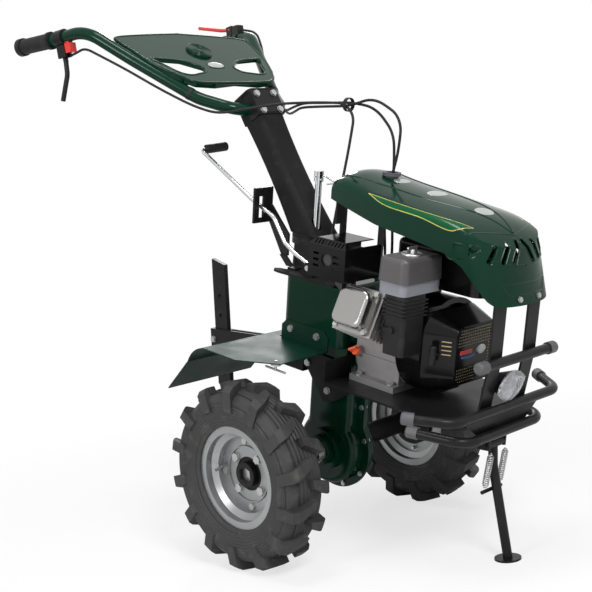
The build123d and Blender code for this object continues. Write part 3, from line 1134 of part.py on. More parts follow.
def on_tube(share, side):
    """Frame on the rear straight of the handlebar: X runs to the rear end, Z up from the tube."""
    first = -2 if share >= 0 else -3
    a, b = Vector(*HANDLE_HALF[first]), Vector(*HANDLE_HALF[first + 1])
    at = a + (b - a) * share if share >= 0 else b + (b - a) * share
    along = (b - a).normalized()
    at = Vector(at.X, -side * at.Y, at.Z) if side > 0 else at
    along = Vector(along.X, -along.Y, along.Z) if side > 0 else along
    up = (Vector(0, 0, 1) - along * along.Z).normalized()
    return Plane(origin=at, x_dir=along, z_dir=up)


def tube_clamp(frame, length, radius):
    """Split ring round the handlebar tube."""
    ring = frame * (Rot(0, 90, 0) * Cylinder(radius, length))
    return ring - frame * (Rot(0, 90, 0) * Cylinder(HANDLE_R + WELD_GAP, length + 2))


def clamp_with_ears(frame, ear_z):
    """Tube clamp with a slotted ear under it that carries a lever."""
    mount = tube_clamp(frame, 26, HANDLE_R + 5)
    ears = frame * Pos(0, 0, ear_z + 7) * Box(26, 22, 30)
    ears -= frame * Pos(0, 0, ear_z - 3) * Box(30, 8 + 2 * RUN_GAP, 28)
    ears -= frame * (Rot(0, 90, 0) * Cylinder(HANDLE_R + WELD_GAP, 40))
    mount += ears
    return mount - frame * Pos(0, 0, ear_z) * (Rot(90, 0, 0) * Cylinder(3 + BORE_GAP, 60))


def hand_lever(frame, pivot_z, points, bend, radius):
    """Lever with its eye and pin at the clamp's ear and a bent blade."""
    lever = frame * Pos(0, 0, pivot_z) * (Rot(90, 0, 0) * Cylinder(8, 8))
    x, z = points[0]
    reach = math.hypot(x, z - pivot_z)
    turn = math.degrees(math.atan2(z - pivot_z, x))
    lever += frame * Pos(0, 0, pivot_z) * (Rot(0, -turn, 0) * Pos(reach / 2 + 1, 0, 0) * Box(reach + 4, 8, 10))
    spots = [tuple(frame.from_local_coords((x, 0, z))) for x, z in points]
    lever += swept(spots, [bend], radius)
    return lever + frame * Pos(0, 0, pivot_z) * (Rot(90, 0, 0) * Cylinder(3, 22))


def make_hand_levers():
    """Clutch lever under the right tube, dead-man lever over the left one, and the stop switch."""
    frame = on_tube(CLUTCH_SHARE, -1)
    ear_z = -HANDLE_R - 26
    node("lever_brackets", clamp_with_ears(frame, ear_z))
    node("clutch_lever", hand_lever(frame, ear_z, [(0, ear_z - 16), (3, ear_z - 48), (34, ear_z - 106)], 40.0, 6))
    latch = frame * Pos(-24, 0, ear_z + 12) * Box(18, 20, 22)
    latch += frame * Pos(-20, 0, ear_z + 22) * Box(14, 14, 20)
    latch -= frame * (Rot(0, 90, 0) * Cylinder(HANDLE_R + WELD_GAP, 100))
    node("safety_latches", latch)
    frame = on_tube(BRAKE_SHARE, 1)
    flipped = Plane(origin=frame.origin, x_dir=frame.x_dir, z_dir=frame.z_dir * -1)
    ear_z = -HANDLE_R - 17
    node("lever_brackets", clamp_with_ears(flipped, ear_z))
    points = [(21, ear_z - 3), (56, ear_z - 10), (BRAKE_LEVER_L, ear_z - 40)]
    node("brake_lever", hand_lever(flipped, ear_z, points, 50.0, 5))
    frame = on_tube(LATCH_SHARE, 1)
    latch = frame * Pos(0, 0, -HANDLE_R - 8) * Box(10, 20, 28)
    latch -= frame * (Rot(0, 90, 0) * Cylinder(HANDLE_R + WELD_GAP, 100))
    node("safety_latches", latch)
    frame = on_tube(SWITCH_SHARE, 1)
    box = frame * Pos(0, 0, HANDLE_R + 8) * Box(24, 26, 26)
    box = fillet(box.edges().filter_by(Axis(frame.origin, frame.z_dir)), 4)
    box += tube_clamp(frame, 20, HANDLE_R + 4)
    box -= frame * (Rot(0, 90, 0) * Cylinder(HANDLE_R + WELD_GAP, 60))
    box -= frame * Pos(0, 0, HANDLE_R + 19) * Box(20 + 2 * RUN_GAP, 14 + 2 * RUN_GAP, 10)
    pivot = frame * Pos(0, 0, HANDLE_R + 19) * (Rot(90, 0, 0) * Cylinder(1.5 + BORE_GAP, 40))
    node("kill_switch", box - pivot)
    rocker = frame * Pos(0, 0, HANDLE_R + 19.5) * Box(18, 14, 6)
    rocker += frame * Pos(0, 0, HANDLE_R + 19) * (Rot(90, 0, 0) * Cylinder(1.5, 24))
    node("kill_rocker", rocker)


def cable(points, share=0.45):
    """Bowden cable along a route, its bends printed for the record."""
    radii = easy_radii(points, share)
    print("cable bends", [round(r, 1) for r in radii])
    return swept(points, radii, CABLE_R)


def along_tube(side, shift):
    """Cable stations under one handlebar tube and on to the tie in front of the column."""
    out = [(-690, 285, 866), (-640, 272, 866), (-545, 223, 824), (-470, 180, 784), (-396, 139, 751),
           (-340, 112, 738), (-290, 82, 752), (-214, 44 - shift, 772 - shift)]
    return [(x, side * y, z) for x, y, z in out]


def make_cables():
    """Clutch cable to the gear case, dead-man and switch cables into the hood."""
    lever = on_tube(CLUTCH_SHARE, -1).from_local_coords((-16, 0, -HANDLE_R - 32))
    start = [(lever.X + 3, lever.Y, lever.Z), (lever.X + 22, lever.Y + 3, lever.Z + 8)]
    clutch = start + along_tube(-1, 0)[1:] + [(-120, -14, 784), (-40, -7, 790), (-6, -10, 766), (-2, -26, 690),
                                              (-8, -46, 560), (-10, -58, 480), CLUTCH_CABLE_END]
    node("control_cables", cable(clutch))
    lever = on_tube(BRAKE_SHARE, 1).from_local_coords((0, 0, -HANDLE_R - 8))
    start = [(lever.X, lever.Y, lever.Z), (lever.X + 20, lever.Y, lever.Z + 2)]
    stop = start + along_tube(1, 0)[1:] + [(-120, 18, 782), (-32, 7, 792), (40, 6, 788), (96, 6, 740),
                                           (HOOD_HOLE[0], 5, 680), (HOOD_HOLE[0] + 2, 3, 600),
                                           (128, -8, 500), (128, -8, CRANK_Z + 66 + WELD_GAP)]
    node("control_cables", cable(stop))
    switch = on_tube(SWITCH_SHARE, 1).from_local_coords((-16, 4, HANDLE_R + 8))
    start = [(switch.X + 3, switch.Y, switch.Z), (-650, 292, 914), (-628, 292, 880)]
    wire = start + [(x + 6, y + 6, z - 8) for x, y, z in along_tube(1, 0)[2:-1]]
    wire += [(-214, 36, 762), (-120, 14, 774), (-32, 1, 784), (40, -2, 810), (124, -4, 776),
             (122, -6, 700), (HOOD_HOLE[0] + 2, -5, 640), (110, -22, 560), (128, -30, 480),
             (128, -30, CRANK_Z + 66 + WELD_GAP)]
    node("control_cables", cable(wire))


def make_cable_clips():
    """Ties on the handlebar tubes and round the bundle, and the hood's grommet."""
    for side in (-1, 1):
        a, b = Vector(*HANDLE_HALF[1]), Vector(*HANDLE_HALF[2])
        at = a + (b - a) * 0.12
        along = (b - a).normalized()
        if side > 0:
            at, along = Vector(at.X, -at.Y, at.Z), Vector(along.X, -along.Y, along.Z)
        band = rod(at - along * 4, along, HANDLE_R + 0.8, 8) - rod(at - along * 5, along, HANDLE_R + WELD_GAP, 10)
        node("cable_clips", band)
    bundle = rod((-38, 0, 787), (1, 0, 0.02), 15.5, 9) - rod((-39, 0, 787), (1, 0, 0.02), 13.5, 11)
    node("cable_clips", bundle)
    grommet = drum(*HOOD_HOLE, HOOD_HOLE_Z - 4, HOOD_HOLE_R - WELD_GAP, 14)
    grommet += drum(*HOOD_HOLE, HOOD_HOLE_Z + 3, HOOD_HOLE_R + 5, 7)
    grommet -= hood_solid(0) & drum(*HOOD_HOLE, HOOD_HOLE_Z - 40, 60, 80) - drum(
        *HOOD_HOLE, HOOD_HOLE_Z - 60, HOOD_HOLE_R - WELD_GAP, 120)
    grommet -= drum(*HOOD_HOLE, HOOD_HOLE_Z - 40, HOOD_HOLE_R - 2, 80)
    node("rubber_fittings", grommet.solids().sort_by(SortBy.VOLUME)[-1])


def make_drive_details():
    """Final drive gear in the case, and spacer rings between the bosses and the hub tubes."""
    gear = rod((0, -14, 0), (0, 1, 0), GEAR_R, 28)
    tooth_gap = rod((0, -15, 0), (0, 1, 0), 4.2, 30)
    for step in range(GEAR_TEETH):
        turn = math.radians(step * 360 / GEAR_TEETH)
        gear -= Pos(GEAR_R * math.cos(turn), 0, GEAR_R * math.sin(turn)) * tooth_gap
    gear -= rod((0, -20, 0), (0, 1, 0), AXLE_ROUND_R + WELD_GAP, 40)
    node("final_gear", gear)
    inner = CASE_DEPTH + BOSS_L + 12 + RUN_GAP
    outer = TRACK / 2 - HUB_END_IN - RUN_GAP
    step = (outer - inner) / 3
    for index in range(3):
        ring = rod((0, inner + index * step, 0), (0, 1, 0), SPACER_R - 2 * (index % 2), step - WELD_GAP)
        ring -= rod((0, 0, 0), (0, 1, 0), AXLE_ROUND_R + WELD_GAP, 200)
        node("drive_axle", ring, mirrored(ring))
    x, y = T_BOLT_AT
    seat = FENDER_Z - FENDER_T - WELD_GAP
    t_bolt = drum(x, y, seat - 16, M6, 16 + FENDER_T + 4)
    t_bolt += drum(x, y, seat - 4, 11, 4)
    t_bolt += rod((x - 30, y, seat - 14), (1, 0, 0), 2.5, 60)
    node("chassis_bolts", t_bolt, mirrored(t_bolt))


def place_all():
    """Tips the nose down, stands the wheels on the ground and centres the whole over the origin."""
    tip = Pos(0, 0, TYRE_R) * Rot(0, NOSE_DOWN, 0)
    placed = {name: [tip * solid for solid in solids] for name, solids in NODES.items()}
    boxes = [solid.bounding_box() for solids in placed.values() for solid in solids]
    centre = [(min(getattr(b.min, k) for b in boxes) + max(getattr(b.max, k) for b in boxes)) / 2
              for k in ("X", "Y")]
    low = min(b.min.Z for b in boxes)
    print("shift", round(-centre[0], 4), round(-centre[1], 4), round(-low, 4))
    shift = Pos(-centre[0], -centre[1], -low)
    return {name: [shift * solid for solid in solids] for name, solids in placed.items()}


MAKERS = (make_wheels, make_gear_case, make_drive_details, make_sheet_parts, make_swivel_base,
          make_shift_gear, make_column, make_locking_pin, make_handlebar, make_panel, make_hand_levers,
          make_cables, make_cable_clips, make_crankcase, make_cylinder, make_muffler, make_air_side,
          make_recoil, make_crankshaft, make_engine_fittings, make_base_plate, make_bumper, make_stand,
          make_stand_springs, make_headlight, make_hitch, make_tank, make_hood, make_hood_brackets)


def main():
    for maker in MAKERS:
        maker()
    os.makedirs("parts", exist_ok=True)
    for name, solids in place_all().items():
        shape = Compound(children=solids) if len(solids) > 1 else solids[0]
        export_step(shape, f"parts/{name}.step")
    print(len(NODES), "nodes")


if __name__ == "__main__":
    main()
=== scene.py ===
"""Dresses the two-wheel walking tractor: finishes, trim, cables, light and camera."""
import logging
import math
from dataclasses import dataclass
from enum import Enum

import bmesh
import bpy
import numpy as np
from mathutils import Matrix, Vector


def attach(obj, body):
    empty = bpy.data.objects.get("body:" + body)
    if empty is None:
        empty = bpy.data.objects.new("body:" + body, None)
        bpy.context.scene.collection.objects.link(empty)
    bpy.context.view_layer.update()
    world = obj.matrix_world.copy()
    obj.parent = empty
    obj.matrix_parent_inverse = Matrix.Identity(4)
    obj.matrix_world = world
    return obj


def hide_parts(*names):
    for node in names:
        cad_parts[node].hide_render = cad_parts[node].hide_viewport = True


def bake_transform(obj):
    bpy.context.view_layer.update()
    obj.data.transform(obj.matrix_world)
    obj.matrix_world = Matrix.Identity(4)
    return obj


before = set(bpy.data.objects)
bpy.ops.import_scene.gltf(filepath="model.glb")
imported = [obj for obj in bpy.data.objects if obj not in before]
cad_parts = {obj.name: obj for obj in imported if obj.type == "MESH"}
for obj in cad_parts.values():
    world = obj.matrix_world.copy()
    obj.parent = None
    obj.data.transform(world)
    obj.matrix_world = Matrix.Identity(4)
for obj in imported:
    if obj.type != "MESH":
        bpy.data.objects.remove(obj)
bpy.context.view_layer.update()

LOG = logging.getLogger("walking_tractor")
MM = 0.001
NOSE_DOWN = math.radians(13.1)      # the machine leans on its front stand
AXLE_HEIGHT = 0.207
AXLE_X = 0.0505006


def place(points: np.ndarray) -> np.ndarray:
    """Turns points of the level machine, in millimetres from the axle, into the frame.

    The machine is pitched about the axle and set on the floor: x' = x cos + z sin,
    z' = z cos - x sin, then moved by the axle's own place.

    Args:
        points: array whose last axis is x forward, y left, z up.

    Returns:
        The same array in metres in the frame.
    """
    p = np.asarray(points, float) * MM
    c, s = math.cos(NOSE_DOWN), math.sin(NOSE_DOWN)
    x = p[..., 0] * c + p[..., 2] * s + AXLE_X
    z = p[..., 2] * c - p[..., 0] * s + AXLE_HEIGHT
    return np.stack([x, p[..., 1], z], -1)


# ------------------------------------------------------------------ finishes
PATCH_EDGE = (0.38, 0.68)           # noise values between which the second colour comes in
SHEEN_EDGE = (0.3, 0.7)             # noise values between which the surface gets rougher
DUST_EDGE = (0.56, 0.80)            # noise values between which dust comes in
DUST_PATCH = 38.0                   # patches of dust for each metre
DUST_COLOUR = (0.17, 0.155, 0.13, 1.0)
COAT_ROUGHNESS = 0.08
GRAIN_HEIGHT = 0.0006               # metres from the bottom to the top of the grain


class Grain(Enum):
    """How a surface is broken up at close range."""

    PAINT = "paint"
    POWDER = "powder"
    CAST = "cast"
    BRUSHED = "brushed"
    MOULDED = "moulded"
    RUBBER = "rubber"


@dataclass(frozen=True)
class Finish:
    """One finish: its colours, sheen and grain."""

    name: str
    colour: tuple[float, float, float]
    second: tuple[float, float, float]
    grain: Grain
    roughness: float
    metallic: float = 0.0
    coat: float = 0.0
    patch: float = 9.0          # patches of colour for each metre
    mottle: float = 0.35        # how far the second colour shows
    bump: float = 0.1
    grime: float = 0.25
    specular: float = 0.5

    def material(self) -> bpy.types.Material:
        """Builds the node material once and returns it."""
        found = bpy.data.materials.get(self.name)
        if found is not None:
            return found
        made = bpy.data.materials.new(self.name)
        made.use_nodes = True
        tree = made.node_tree
        shader = tree.nodes["Principled BSDF"]
        where = tree.nodes.new("ShaderNodeTexCoord").outputs["Object"]
        broad = self._noise(tree, where, self.patch, 4.0)
        fine = self._noise(tree, where, self._fine_scale(), 2.0)
        blend = self._range(tree, broad, *PATCH_EDGE, 0.0, self.mottle)
        tint = self._mix(tree, blend, self.colour, self.second)
        dirt = self._noise(tree, where, DUST_PATCH, 6.0)
        spots = self._range(tree, dirt, *DUST_EDGE, 0.0, self.grime)
        dust = tree.nodes.new("ShaderNodeMix")
        dust.data_type = "RGBA"
        dust.inputs["B"].default_value = DUST_COLOUR
        tree.links.new(spots, dust.inputs["Factor"])
        tree.links.new(tint, dust.inputs["A"])
        tree.links.new(dust.outputs["Result"], shader.inputs["Base Color"])
        low, high = self.roughness * 0.8, min(1.0, self.roughness * 1.35)
        sheen = self._range(tree, broad, *SHEEN_EDGE, low, high)
        tree.links.new(sheen, shader.inputs["Roughness"])
        shader.inputs["Metallic"].default_value = self.metallic
        shader.inputs["Coat Weight"].default_value = self.coat
        shader.inputs["Coat Roughness"].default_value = COAT_ROUGHNESS
        shader.inputs["Specular IOR Level"].default_value = self.specular
        bump = tree.nodes.new("ShaderNodeBump")
        bump.inputs["Strength"].default_value = self.bump
        bump.inputs["Distance"].default_value = GRAIN_HEIGHT
        tree.links.new(fine, bump.inputs["Height"])
        tree.links.new(bump.outputs["Normal"], shader.inputs["Normal"])
        return made

    def _fine_scale(self) -> float:
        """Grains for each metre, by the kind of surface."""
        return {Grain.PAINT: 60.0, Grain.POWDER: 900.0, Grain.CAST: 420.0, Grain.BRUSHED: 240.0,
                Grain.MOULDED: 700.0, Grain.RUBBER: 260.0}[self.grain]

    @staticmethod
    def _noise(tree: bpy.types.NodeTree, where: bpy.types.NodeSocket, scale: float,
               detail: float) -> bpy.types.NodeSocket:
        """Adds a noise texture and returns its value."""
        node = tree.nodes.new("ShaderNodeTexNoise")
        node.inputs["Scale"].default_value = scale
        node.inputs["Detail"].default_value = detail
        tree.links.new(where, node.inputs["Vector"])
        return node.outputs["Fac"]

    @staticmethod
    def _range(tree: bpy.types.NodeTree, value: bpy.types.NodeSocket, a: float, b: float, low: float,
               high: float) -> bpy.types.NodeSocket:
        """Maps a..b of a value onto low..high, held at both ends."""
        node = tree.nodes.new("ShaderNodeMapRange")
        for name, number in (("From Min", a), ("From Max", b), ("To Min", low), ("To Max", high)):
            node.inputs[name].default_value = number
        tree.links.new(value, node.inputs["Value"])
        return node.outputs["Result"]

    @staticmethod
    def _mix(tree: bpy.types.NodeTree, factor: bpy.types.NodeSocket, a: tuple[float, ...],
             b: tuple[float, ...]) -> bpy.types.NodeSocket:
        """Mixes two colours by a factor."""
        node = tree.nodes.new("ShaderNodeMix")
        node.data_type = "RGBA"
        node.inputs["A"].default_value = (*a, 1)
        node.inputs["B"].default_value = (*b, 1)
        tree.links.new(factor, node.inputs["Factor"])
        return node.outputs["Result"]


GREEN = Finish("bottle_green_enamel", (0.0014, 0.026, 0.014), (0.0010, 0.017, 0.010), Grain.PAINT, 0.11,
               bump=0.02, grime=0.02, specular=0.16)
STRIPE = Finish("leaf_green_enamel", (0.002, 0.075, 0.024), (0.002, 0.055, 0.018), Grain.PAINT, 0.14,
                bump=0.02, grime=0.0, specular=0.16)
PINLINE = Finish("yellow_line_enamel", (0.50, 0.52, 0.08), (0.62, 0.30, 0.10), Grain.PAINT, 0.3, coat=0.5,
                 patch=14.0, mottle=0.9, bump=0.02, grime=0.0)
BADGE = Finish("bare_badge_plate", (0.42, 0.44, 0.43), (0.30, 0.32, 0.31), Grain.BRUSHED, 0.3, metallic=0.6,
               coat=0.4, bump=0.05, grime=0.05)
BLACK = Finish("black_powder_coat", (0.0075, 0.0075, 0.008), (0.013, 0.0125, 0.0125), Grain.POWDER, 0.34,
               bump=0.14, grime=0.06, specular=0.18)
GLOSS_BLACK = Finish("black_stove_enamel", (0.0035, 0.0035, 0.004), (0.006, 0.006, 0.006),
                     Grain.PAINT, 0.12, bump=0.04, grime=0.02, specular=0.2)
DULL_BLACK = Finish("black_satin_coat", (0.010, 0.010, 0.0105), (0.016, 0.0155, 0.0155), Grain.POWDER, 0.62,
                    bump=0.14, grime=0.08, specular=0.1)
SATIN_GREEN = Finish("bottle_green_satin", (0.0020, 0.024, 0.014), (0.0014, 0.016, 0.010), Grain.PAINT, 0.36,
                     bump=0.03, grime=0.04, specular=0.14)
BRASS = Finish("brass_mesh", (0.36, 0.27, 0.14), (0.26, 0.20, 0.11), Grain.BRUSHED, 0.4, metallic=0.5,
               grime=0.0)
BLUE = Finish("blue_line_enamel", (0.02, 0.10, 0.36), (0.02, 0.08, 0.30), Grain.PAINT, 0.3, grime=0.0)
ZINC = Finish("bright_zinc", (0.50, 0.50, 0.49), (0.36, 0.37, 0.38), Grain.BRUSHED, 0.30, metallic=0.95,
              bump=0.10, grime=0.12)
RIM = Finish("silver_rim_enamel", (0.33, 0.335, 0.34), (0.25, 0.25, 0.25), Grain.POWDER, 0.30, metallic=0.75,
             bump=0.06, grime=0.20)
CHROME = Finish("chrome_rod", (0.66, 0.67, 0.68), (0.56, 0.56, 0.57), Grain.BRUSHED, 0.14, metallic=1.0,
                bump=0.03, grime=0.03)
ALLOY = Finish("cast_aluminium", (0.34, 0.33, 0.33), (0.24, 0.235, 0.235), Grain.CAST, 0.42, metallic=0.75,
               bump=0.45, grime=0.22)
PRESSED = Finish("pressed_steel_cover", (0.36, 0.355, 0.34), (0.24, 0.235, 0.225), Grain.BRUSHED, 0.26,
                 metallic=1.0, bump=0.08, grime=0.14)
IRON = Finish("heat_grey_iron", (0.035, 0.034, 0.033), (0.055, 0.045, 0.04), Grain.CAST, 0.55, metallic=0.3,
              bump=0.4, grime=0.3)
TYRE = Finish("tyre_rubber", (0.024, 0.024, 0.025), (0.046, 0.045, 0.044), Grain.RUBBER, 0.60, bump=0.35,
              patch=26.0, mottle=0.7, grime=0.30, specular=0.35)
RUBBER = Finish("black_rubber", (0.010, 0.010, 0.0105), (0.018, 0.018, 0.018), Grain.RUBBER, 0.48, bump=0.2,
                grime=0.10, specular=0.2)
CAP_RUBBER = Finish("grey_rubber", (0.075, 0.075, 0.082), (0.055, 0.055, 0.058), Grain.RUBBER, 0.55, bump=0.2)
PLASTIC = Finish("black_moulding", (0.010, 0.010, 0.0105), (0.016, 0.016, 0.0165),
                 Grain.MOULDED, 0.38, bump=0.18, grime=0.08, specular=0.2)
GREY_TOP = Finish("charcoal_moulding", (0.062, 0.058, 0.060), (0.048, 0.046, 0.048), Grain.MOULDED, 0.42,
                  bump=0.14, grime=0.12)
GREY_BASE = Finish("grey_moulding", (0.19, 0.20, 0.225), (0.15, 0.155, 0.17), Grain.MOULDED, 0.42, bump=0.12,
                   grime=0.08)
RED = Finish("red_moulding", (0.62, 0.022, 0.018), (0.48, 0.02, 0.016), Grain.MOULDED, 0.32, bump=0.06,
             grime=0.04)
ORANGE = Finish("orange_moulding", (0.80, 0.14, 0.05), (0.66, 0.10, 0.04), Grain.MOULDED, 0.36, bump=0.06,
                grime=0.05)
STEEL = Finish("machined_steel", (0.42, 0.42, 0.42), (0.34, 0.34, 0.33), Grain.BRUSHED, 0.3, metallic=1.0,
               bump=0.12, grime=0.1)

NODE_FINISHES: dict[str, Finish] = {
    **dict.fromkeys(["gearbox_halves", "gearbox_upper_case", "hood", "handlebar", "console_panel"], GREEN),
    "fenders": SATIN_GREEN,
    **dict.fromkeys(["shift_plate", "steering_column"], DULL_BLACK),
    **dict.fromkeys(["side_gussets", "swivel_base", "lever_gate", "wheel_hubs",
                     "handlebar_clamp", "engine_base_plate", "bumper_frame", "bumper_tubes", "stand_bracket",
                     "stand_leg", "hitch_bracket", "depth_bar", "hood_brackets", "lever_brackets"], BLACK),
    **dict.fromkeys(["muffler_guard", "recoil_cover", "blower_housing", "fuel_tank"], GLOSS_BLACK),
    **dict.fromkeys(["chassis_bolts", "column_bolts", "wheel_bolts", "stand_springs",
                     "drive_axle"], ZINC),
    **dict.fromkeys(["gear_lever", "locking_pin"], CHROME),
    **dict.fromkeys(["crankcase", "cylinder_head"], ALLOY),
    **dict.fromkeys(["tyre_left", "tyre_right"], TYRE),
    **dict.fromkeys(["control_cables", "cable_clips", "grips", "gear_lever_grip"], RUBBER),
    **dict.fromkeys(["intake_cover", "headlight_shell", "kill_switch", "starter_handle", "choke_lever",
                     "clutch_lever"], PLASTIC),
    **dict.fromkeys(["brake_lever", "safety_latches", "kill_rocker"], RED),
    **dict.fromkeys(["crankshaft", "final_gear"], STEEL),
    "wheel_rims": RIM, "valve_cover": PRESSED, "muffler": IRON, "rubber_fittings": CAP_RUBBER,
    "air_cleaner_cover": GREY_TOP, "air_cleaner_base": GREY_BASE, "oil_dipstick": ORANGE,
}


@dataclass(frozen=True)
class LensGlass:
    """Clear moulded glass of the headlight."""

    name: str = "ribbed_lens_glass"
    roughness: float = 0.06

    def material(self) -> bpy.types.Material:
        """Builds the lens material, clear with a faint ripple."""
        made = bpy.data.materials.new(self.name)
        made.use_nodes = True
        tree = made.node_tree
        shader = tree.nodes["Principled BSDF"]
        shader.inputs["Base Color"].default_value = (0.92, 0.95, 0.97, 1)
        shader.inputs["Roughness"].default_value = self.roughness
        shader.inputs["Transmission Weight"].default_value = 0.9
        where = tree.nodes.new("ShaderNodeTexCoord").outputs["Object"]
        wave = tree.nodes.new("ShaderNodeTexWave")
        wave.inputs["Scale"].default_value = 55.0
        wave.bands_direction = "Y"
        tree.links.new(where, wave.inputs["Vector"])
        bump = tree.nodes.new("ShaderNodeBump")
        bump.inputs["Strength"].default_value = 0.35
        bump.inputs["Distance"].default_value = 0.0015
        tree.links.new(wave.outputs["Fac"], bump.inputs["Height"])
        tree.links.new(bump.outputs["Normal"], shader.inputs["Normal"])
        return made


# ------------------------------------------------------------------ shape helpers
TUBE_SIDES = 14
CLOSED = 0.01                       # millimetres from the axis at which an end counts as closed


def grid_piece(name: str, points: np.ndarray, finish: Finish, body: str,
               wrap: bool = False) -> bpy.types.Object:
    """Puts a grid of points into a mesh of quads and lets it ride on a body.

    Args:
        name: the piece's name.
        points: array of rows x columns x 3, in metres in the frame; a quad joins each point to
            the next row and the next column.
        finish: its finish.
        body: the body that it rides on.
        wrap: joins the last column to the first.

    Returns:
        The new object.
    """
    faces = grid_faces(points.shape[0], points.shape[1], wrap)
    return mesh_piece(name, points.reshape(-1, 3), faces, finish, body)


def grid_faces(rows: int, columns: int, wrap: bool) -> np.ndarray:
    """Quads that join a grid of rows x columns points, the last column to the first if wrap is set."""
    index = np.arange(rows * columns).reshape(rows, columns)
    if wrap:
        index = np.concatenate([index, index[:, :1]], 1)
    return np.stack([index[:-1, :-1], index[:-1, 1:], index[1:, 1:], index[1:, :-1]], -1).reshape(-1, 4)


def mesh_piece(name: str, points: np.ndarray, faces: np.ndarray, finish: Finish, body: str) -> bpy.types.Object:
    """Makes a smooth-shaded mesh of the faces, dresses it and lets it ride on a body.

    Args:
        name: the piece's name.
        points: array of n x 3, in metres in the frame.
        faces: array of m x 4 vertex numbers.
        finish: its finish.
        body: the body that it rides on.

    Returns:
        The new object.
    """
    mesh = bpy.data.meshes.new(name)
    mesh.from_pydata(points.tolist(), [], faces.tolist())
    mesh.update()
    mesh.shade_smooth()
    piece = bpy.data.objects.new(name, mesh)
    bpy.context.scene.collection.objects.link(piece)
    piece.data.materials.append(finish.material())
    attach(piece, body)
    LOG.info("%s: %d faces on %s", name, len(faces), body)
    return piece


class Skin:
    """A CAD node's surface, met along given directions, so that trim can lie on it."""

    REACH = 0.06

    def __init__(self, node: str) -> None:
        """Keeps the node's triangles as one array of n x 3 x 3."""
        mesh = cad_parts[node].data
        mesh.calc_loop_triangles()
        co = np.empty(len(mesh.vertices) * 3)
        mesh.vertices.foreach_get("co", co)
        tri = np.empty(len(mesh.loop_triangles) * 3, int)
        mesh.loop_triangles.foreach_get("vertices", tri)
        self.triangles = co.reshape(-1, 3)[tri.reshape(-1, 3)]

    def meet(self, start: np.ndarray, way: np.ndarray) -> np.ndarray:
        """Sends a ray from each point and returns where it first meets the surface.

        Each ray is tested against each triangle at once: with edges e1 and e2 the hit solves
        start + t way = a + u e1 + v e2, and the smallest positive t is kept. A ray that meets
        nothing goes on for REACH.

        Args:
            start: array of points, last axis x, y, z.
            way: unit directions, one for all the points or one for each.

        Returns:
            The hits, in the same layout.
        """
        rays = start.reshape(-1, 3)
        ways = np.broadcast_to(way, start.shape).reshape(-1, 3)
        best = np.full(len(rays), self.REACH)
        for block in np.array_split(np.arange(len(rays)), max(1, len(rays) // 60)):
            near = self._near(rays[block], rays[block] + self.REACH * ways[block])
            if not len(near):
                continue
            a, b, c = near[:, 0], near[:, 1], near[:, 2]
            e1, e2 = b - a, c - a
            way_now = ways[block][:, None, :]
            h = np.cross(way_now, e2[None])
            det = np.einsum("tj,rtj->rt", e1, h)
            det = np.where(np.abs(det) < 1e-14, np.nan, det)
            s = rays[block][:, None, :] - a[None]
            u = np.einsum("rtj,rtj->rt", s, h) / det
            q = np.cross(s, e1[None])
            v = np.einsum("rtj,rtj->rt", q, np.broadcast_to(way_now, q.shape)) / det
            t = np.einsum("rtj,tj->rt", q, e2) / det
            hit = (u >= -1e-6) & (v >= -1e-6) & (u + v <= 1 + 1e-6) & (t > 0)
            best[block] = np.minimum(best[block], np.where(hit, t, np.inf).min(1))
        return (rays + best[:, None] * ways).reshape(start.shape)

    def _near(self, begins: np.ndarray, ends: np.ndarray) -> np.ndarray:
        """The triangles whose boxes touch the box around a set of rays."""
        low = np.minimum(begins.min(0), ends.min(0))
        high = np.maximum(begins.max(0), ends.max(0))
        kept = (self.triangles.max(1) >= low).all(1) & (self.triangles.min(1) <= high).all(1)
        return self.triangles[kept]


def smooth_line(corners: np.ndarray, count: int) -> np.ndarray:
    """Runs a smooth line through the corners, with Catmull-Rom pieces of equal share.

    Args:
        corners: array of n x k corner points.
        count: how many points to return.

    Returns:
        Array of count x k points.
    """
    padded = np.concatenate([2 * corners[:1] - corners[1:2], corners, 2 * corners[-1:] - corners[-2:-1]])
    share = np.linspace(0, len(corners) - 1 - 1e-9, count)
    i = share.astype(int)
    t = (share - i)[:, None]
    p0, p1, p2, p3 = padded[i], padded[i + 1], padded[i + 2], padded[i + 3]
    return 0.5 * (2 * p1 + (p2 - p0) * t + (2 * p0 - 5 * p1 + 4 * p2 - p3) * t ** 2
                  + (3 * p1 - p0 - 3 * p2 + p3) * t ** 3)


def tube_points(line: np.ndarray, radius: float, up: np.ndarray) -> np.ndarray:
    """Rings of a round, closed-ended tube along a line in level millimetres.

    Each ring stands square to the line: side = along x up, other = side x along.

    Args:
        line: array of n x 3 level points.
        radius: the tube's radius in millimetres.
        up: a direction that the line never runs along.

    Returns:
        Array of (n + 2) x TUBE_SIDES x 3 points in metres in the frame.
    """
    along = np.gradient(line, axis=0)
    along /= np.linalg.norm(along, axis=1, keepdims=True)
    side = np.cross(along, up)
    side /= np.linalg.norm(side, axis=1, keepdims=True)
    other = np.cross(side, along)
    angle = np.linspace(0, 2 * np.pi, TUBE_SIDES + 1)[:-1]
    ring = side[:, None] * np.cos(angle)[None, :, None] - other[:, None] * np.sin(angle)[None, :, None]
    points = line[:, None] + radius * ring
    first, last = line[:1, None] + CLOSED * ring[:1], line[-1:, None] + CLOSED * ring[-1:]
    return place(np.concatenate([first, points, last]))


def tube(name: str, line: np.ndarray, radius: float, finish: Finish, body: str,
         up: tuple[float, float, float] = (0.0, 0.0, 1.0)) -> bpy.types.Object:
    """Sweeps a tube along a line in level millimetres, dresses it and lets it ride on a body."""
    return grid_piece(name, tube_points(line, radius, np.array(up)), finish, body, wrap=True)


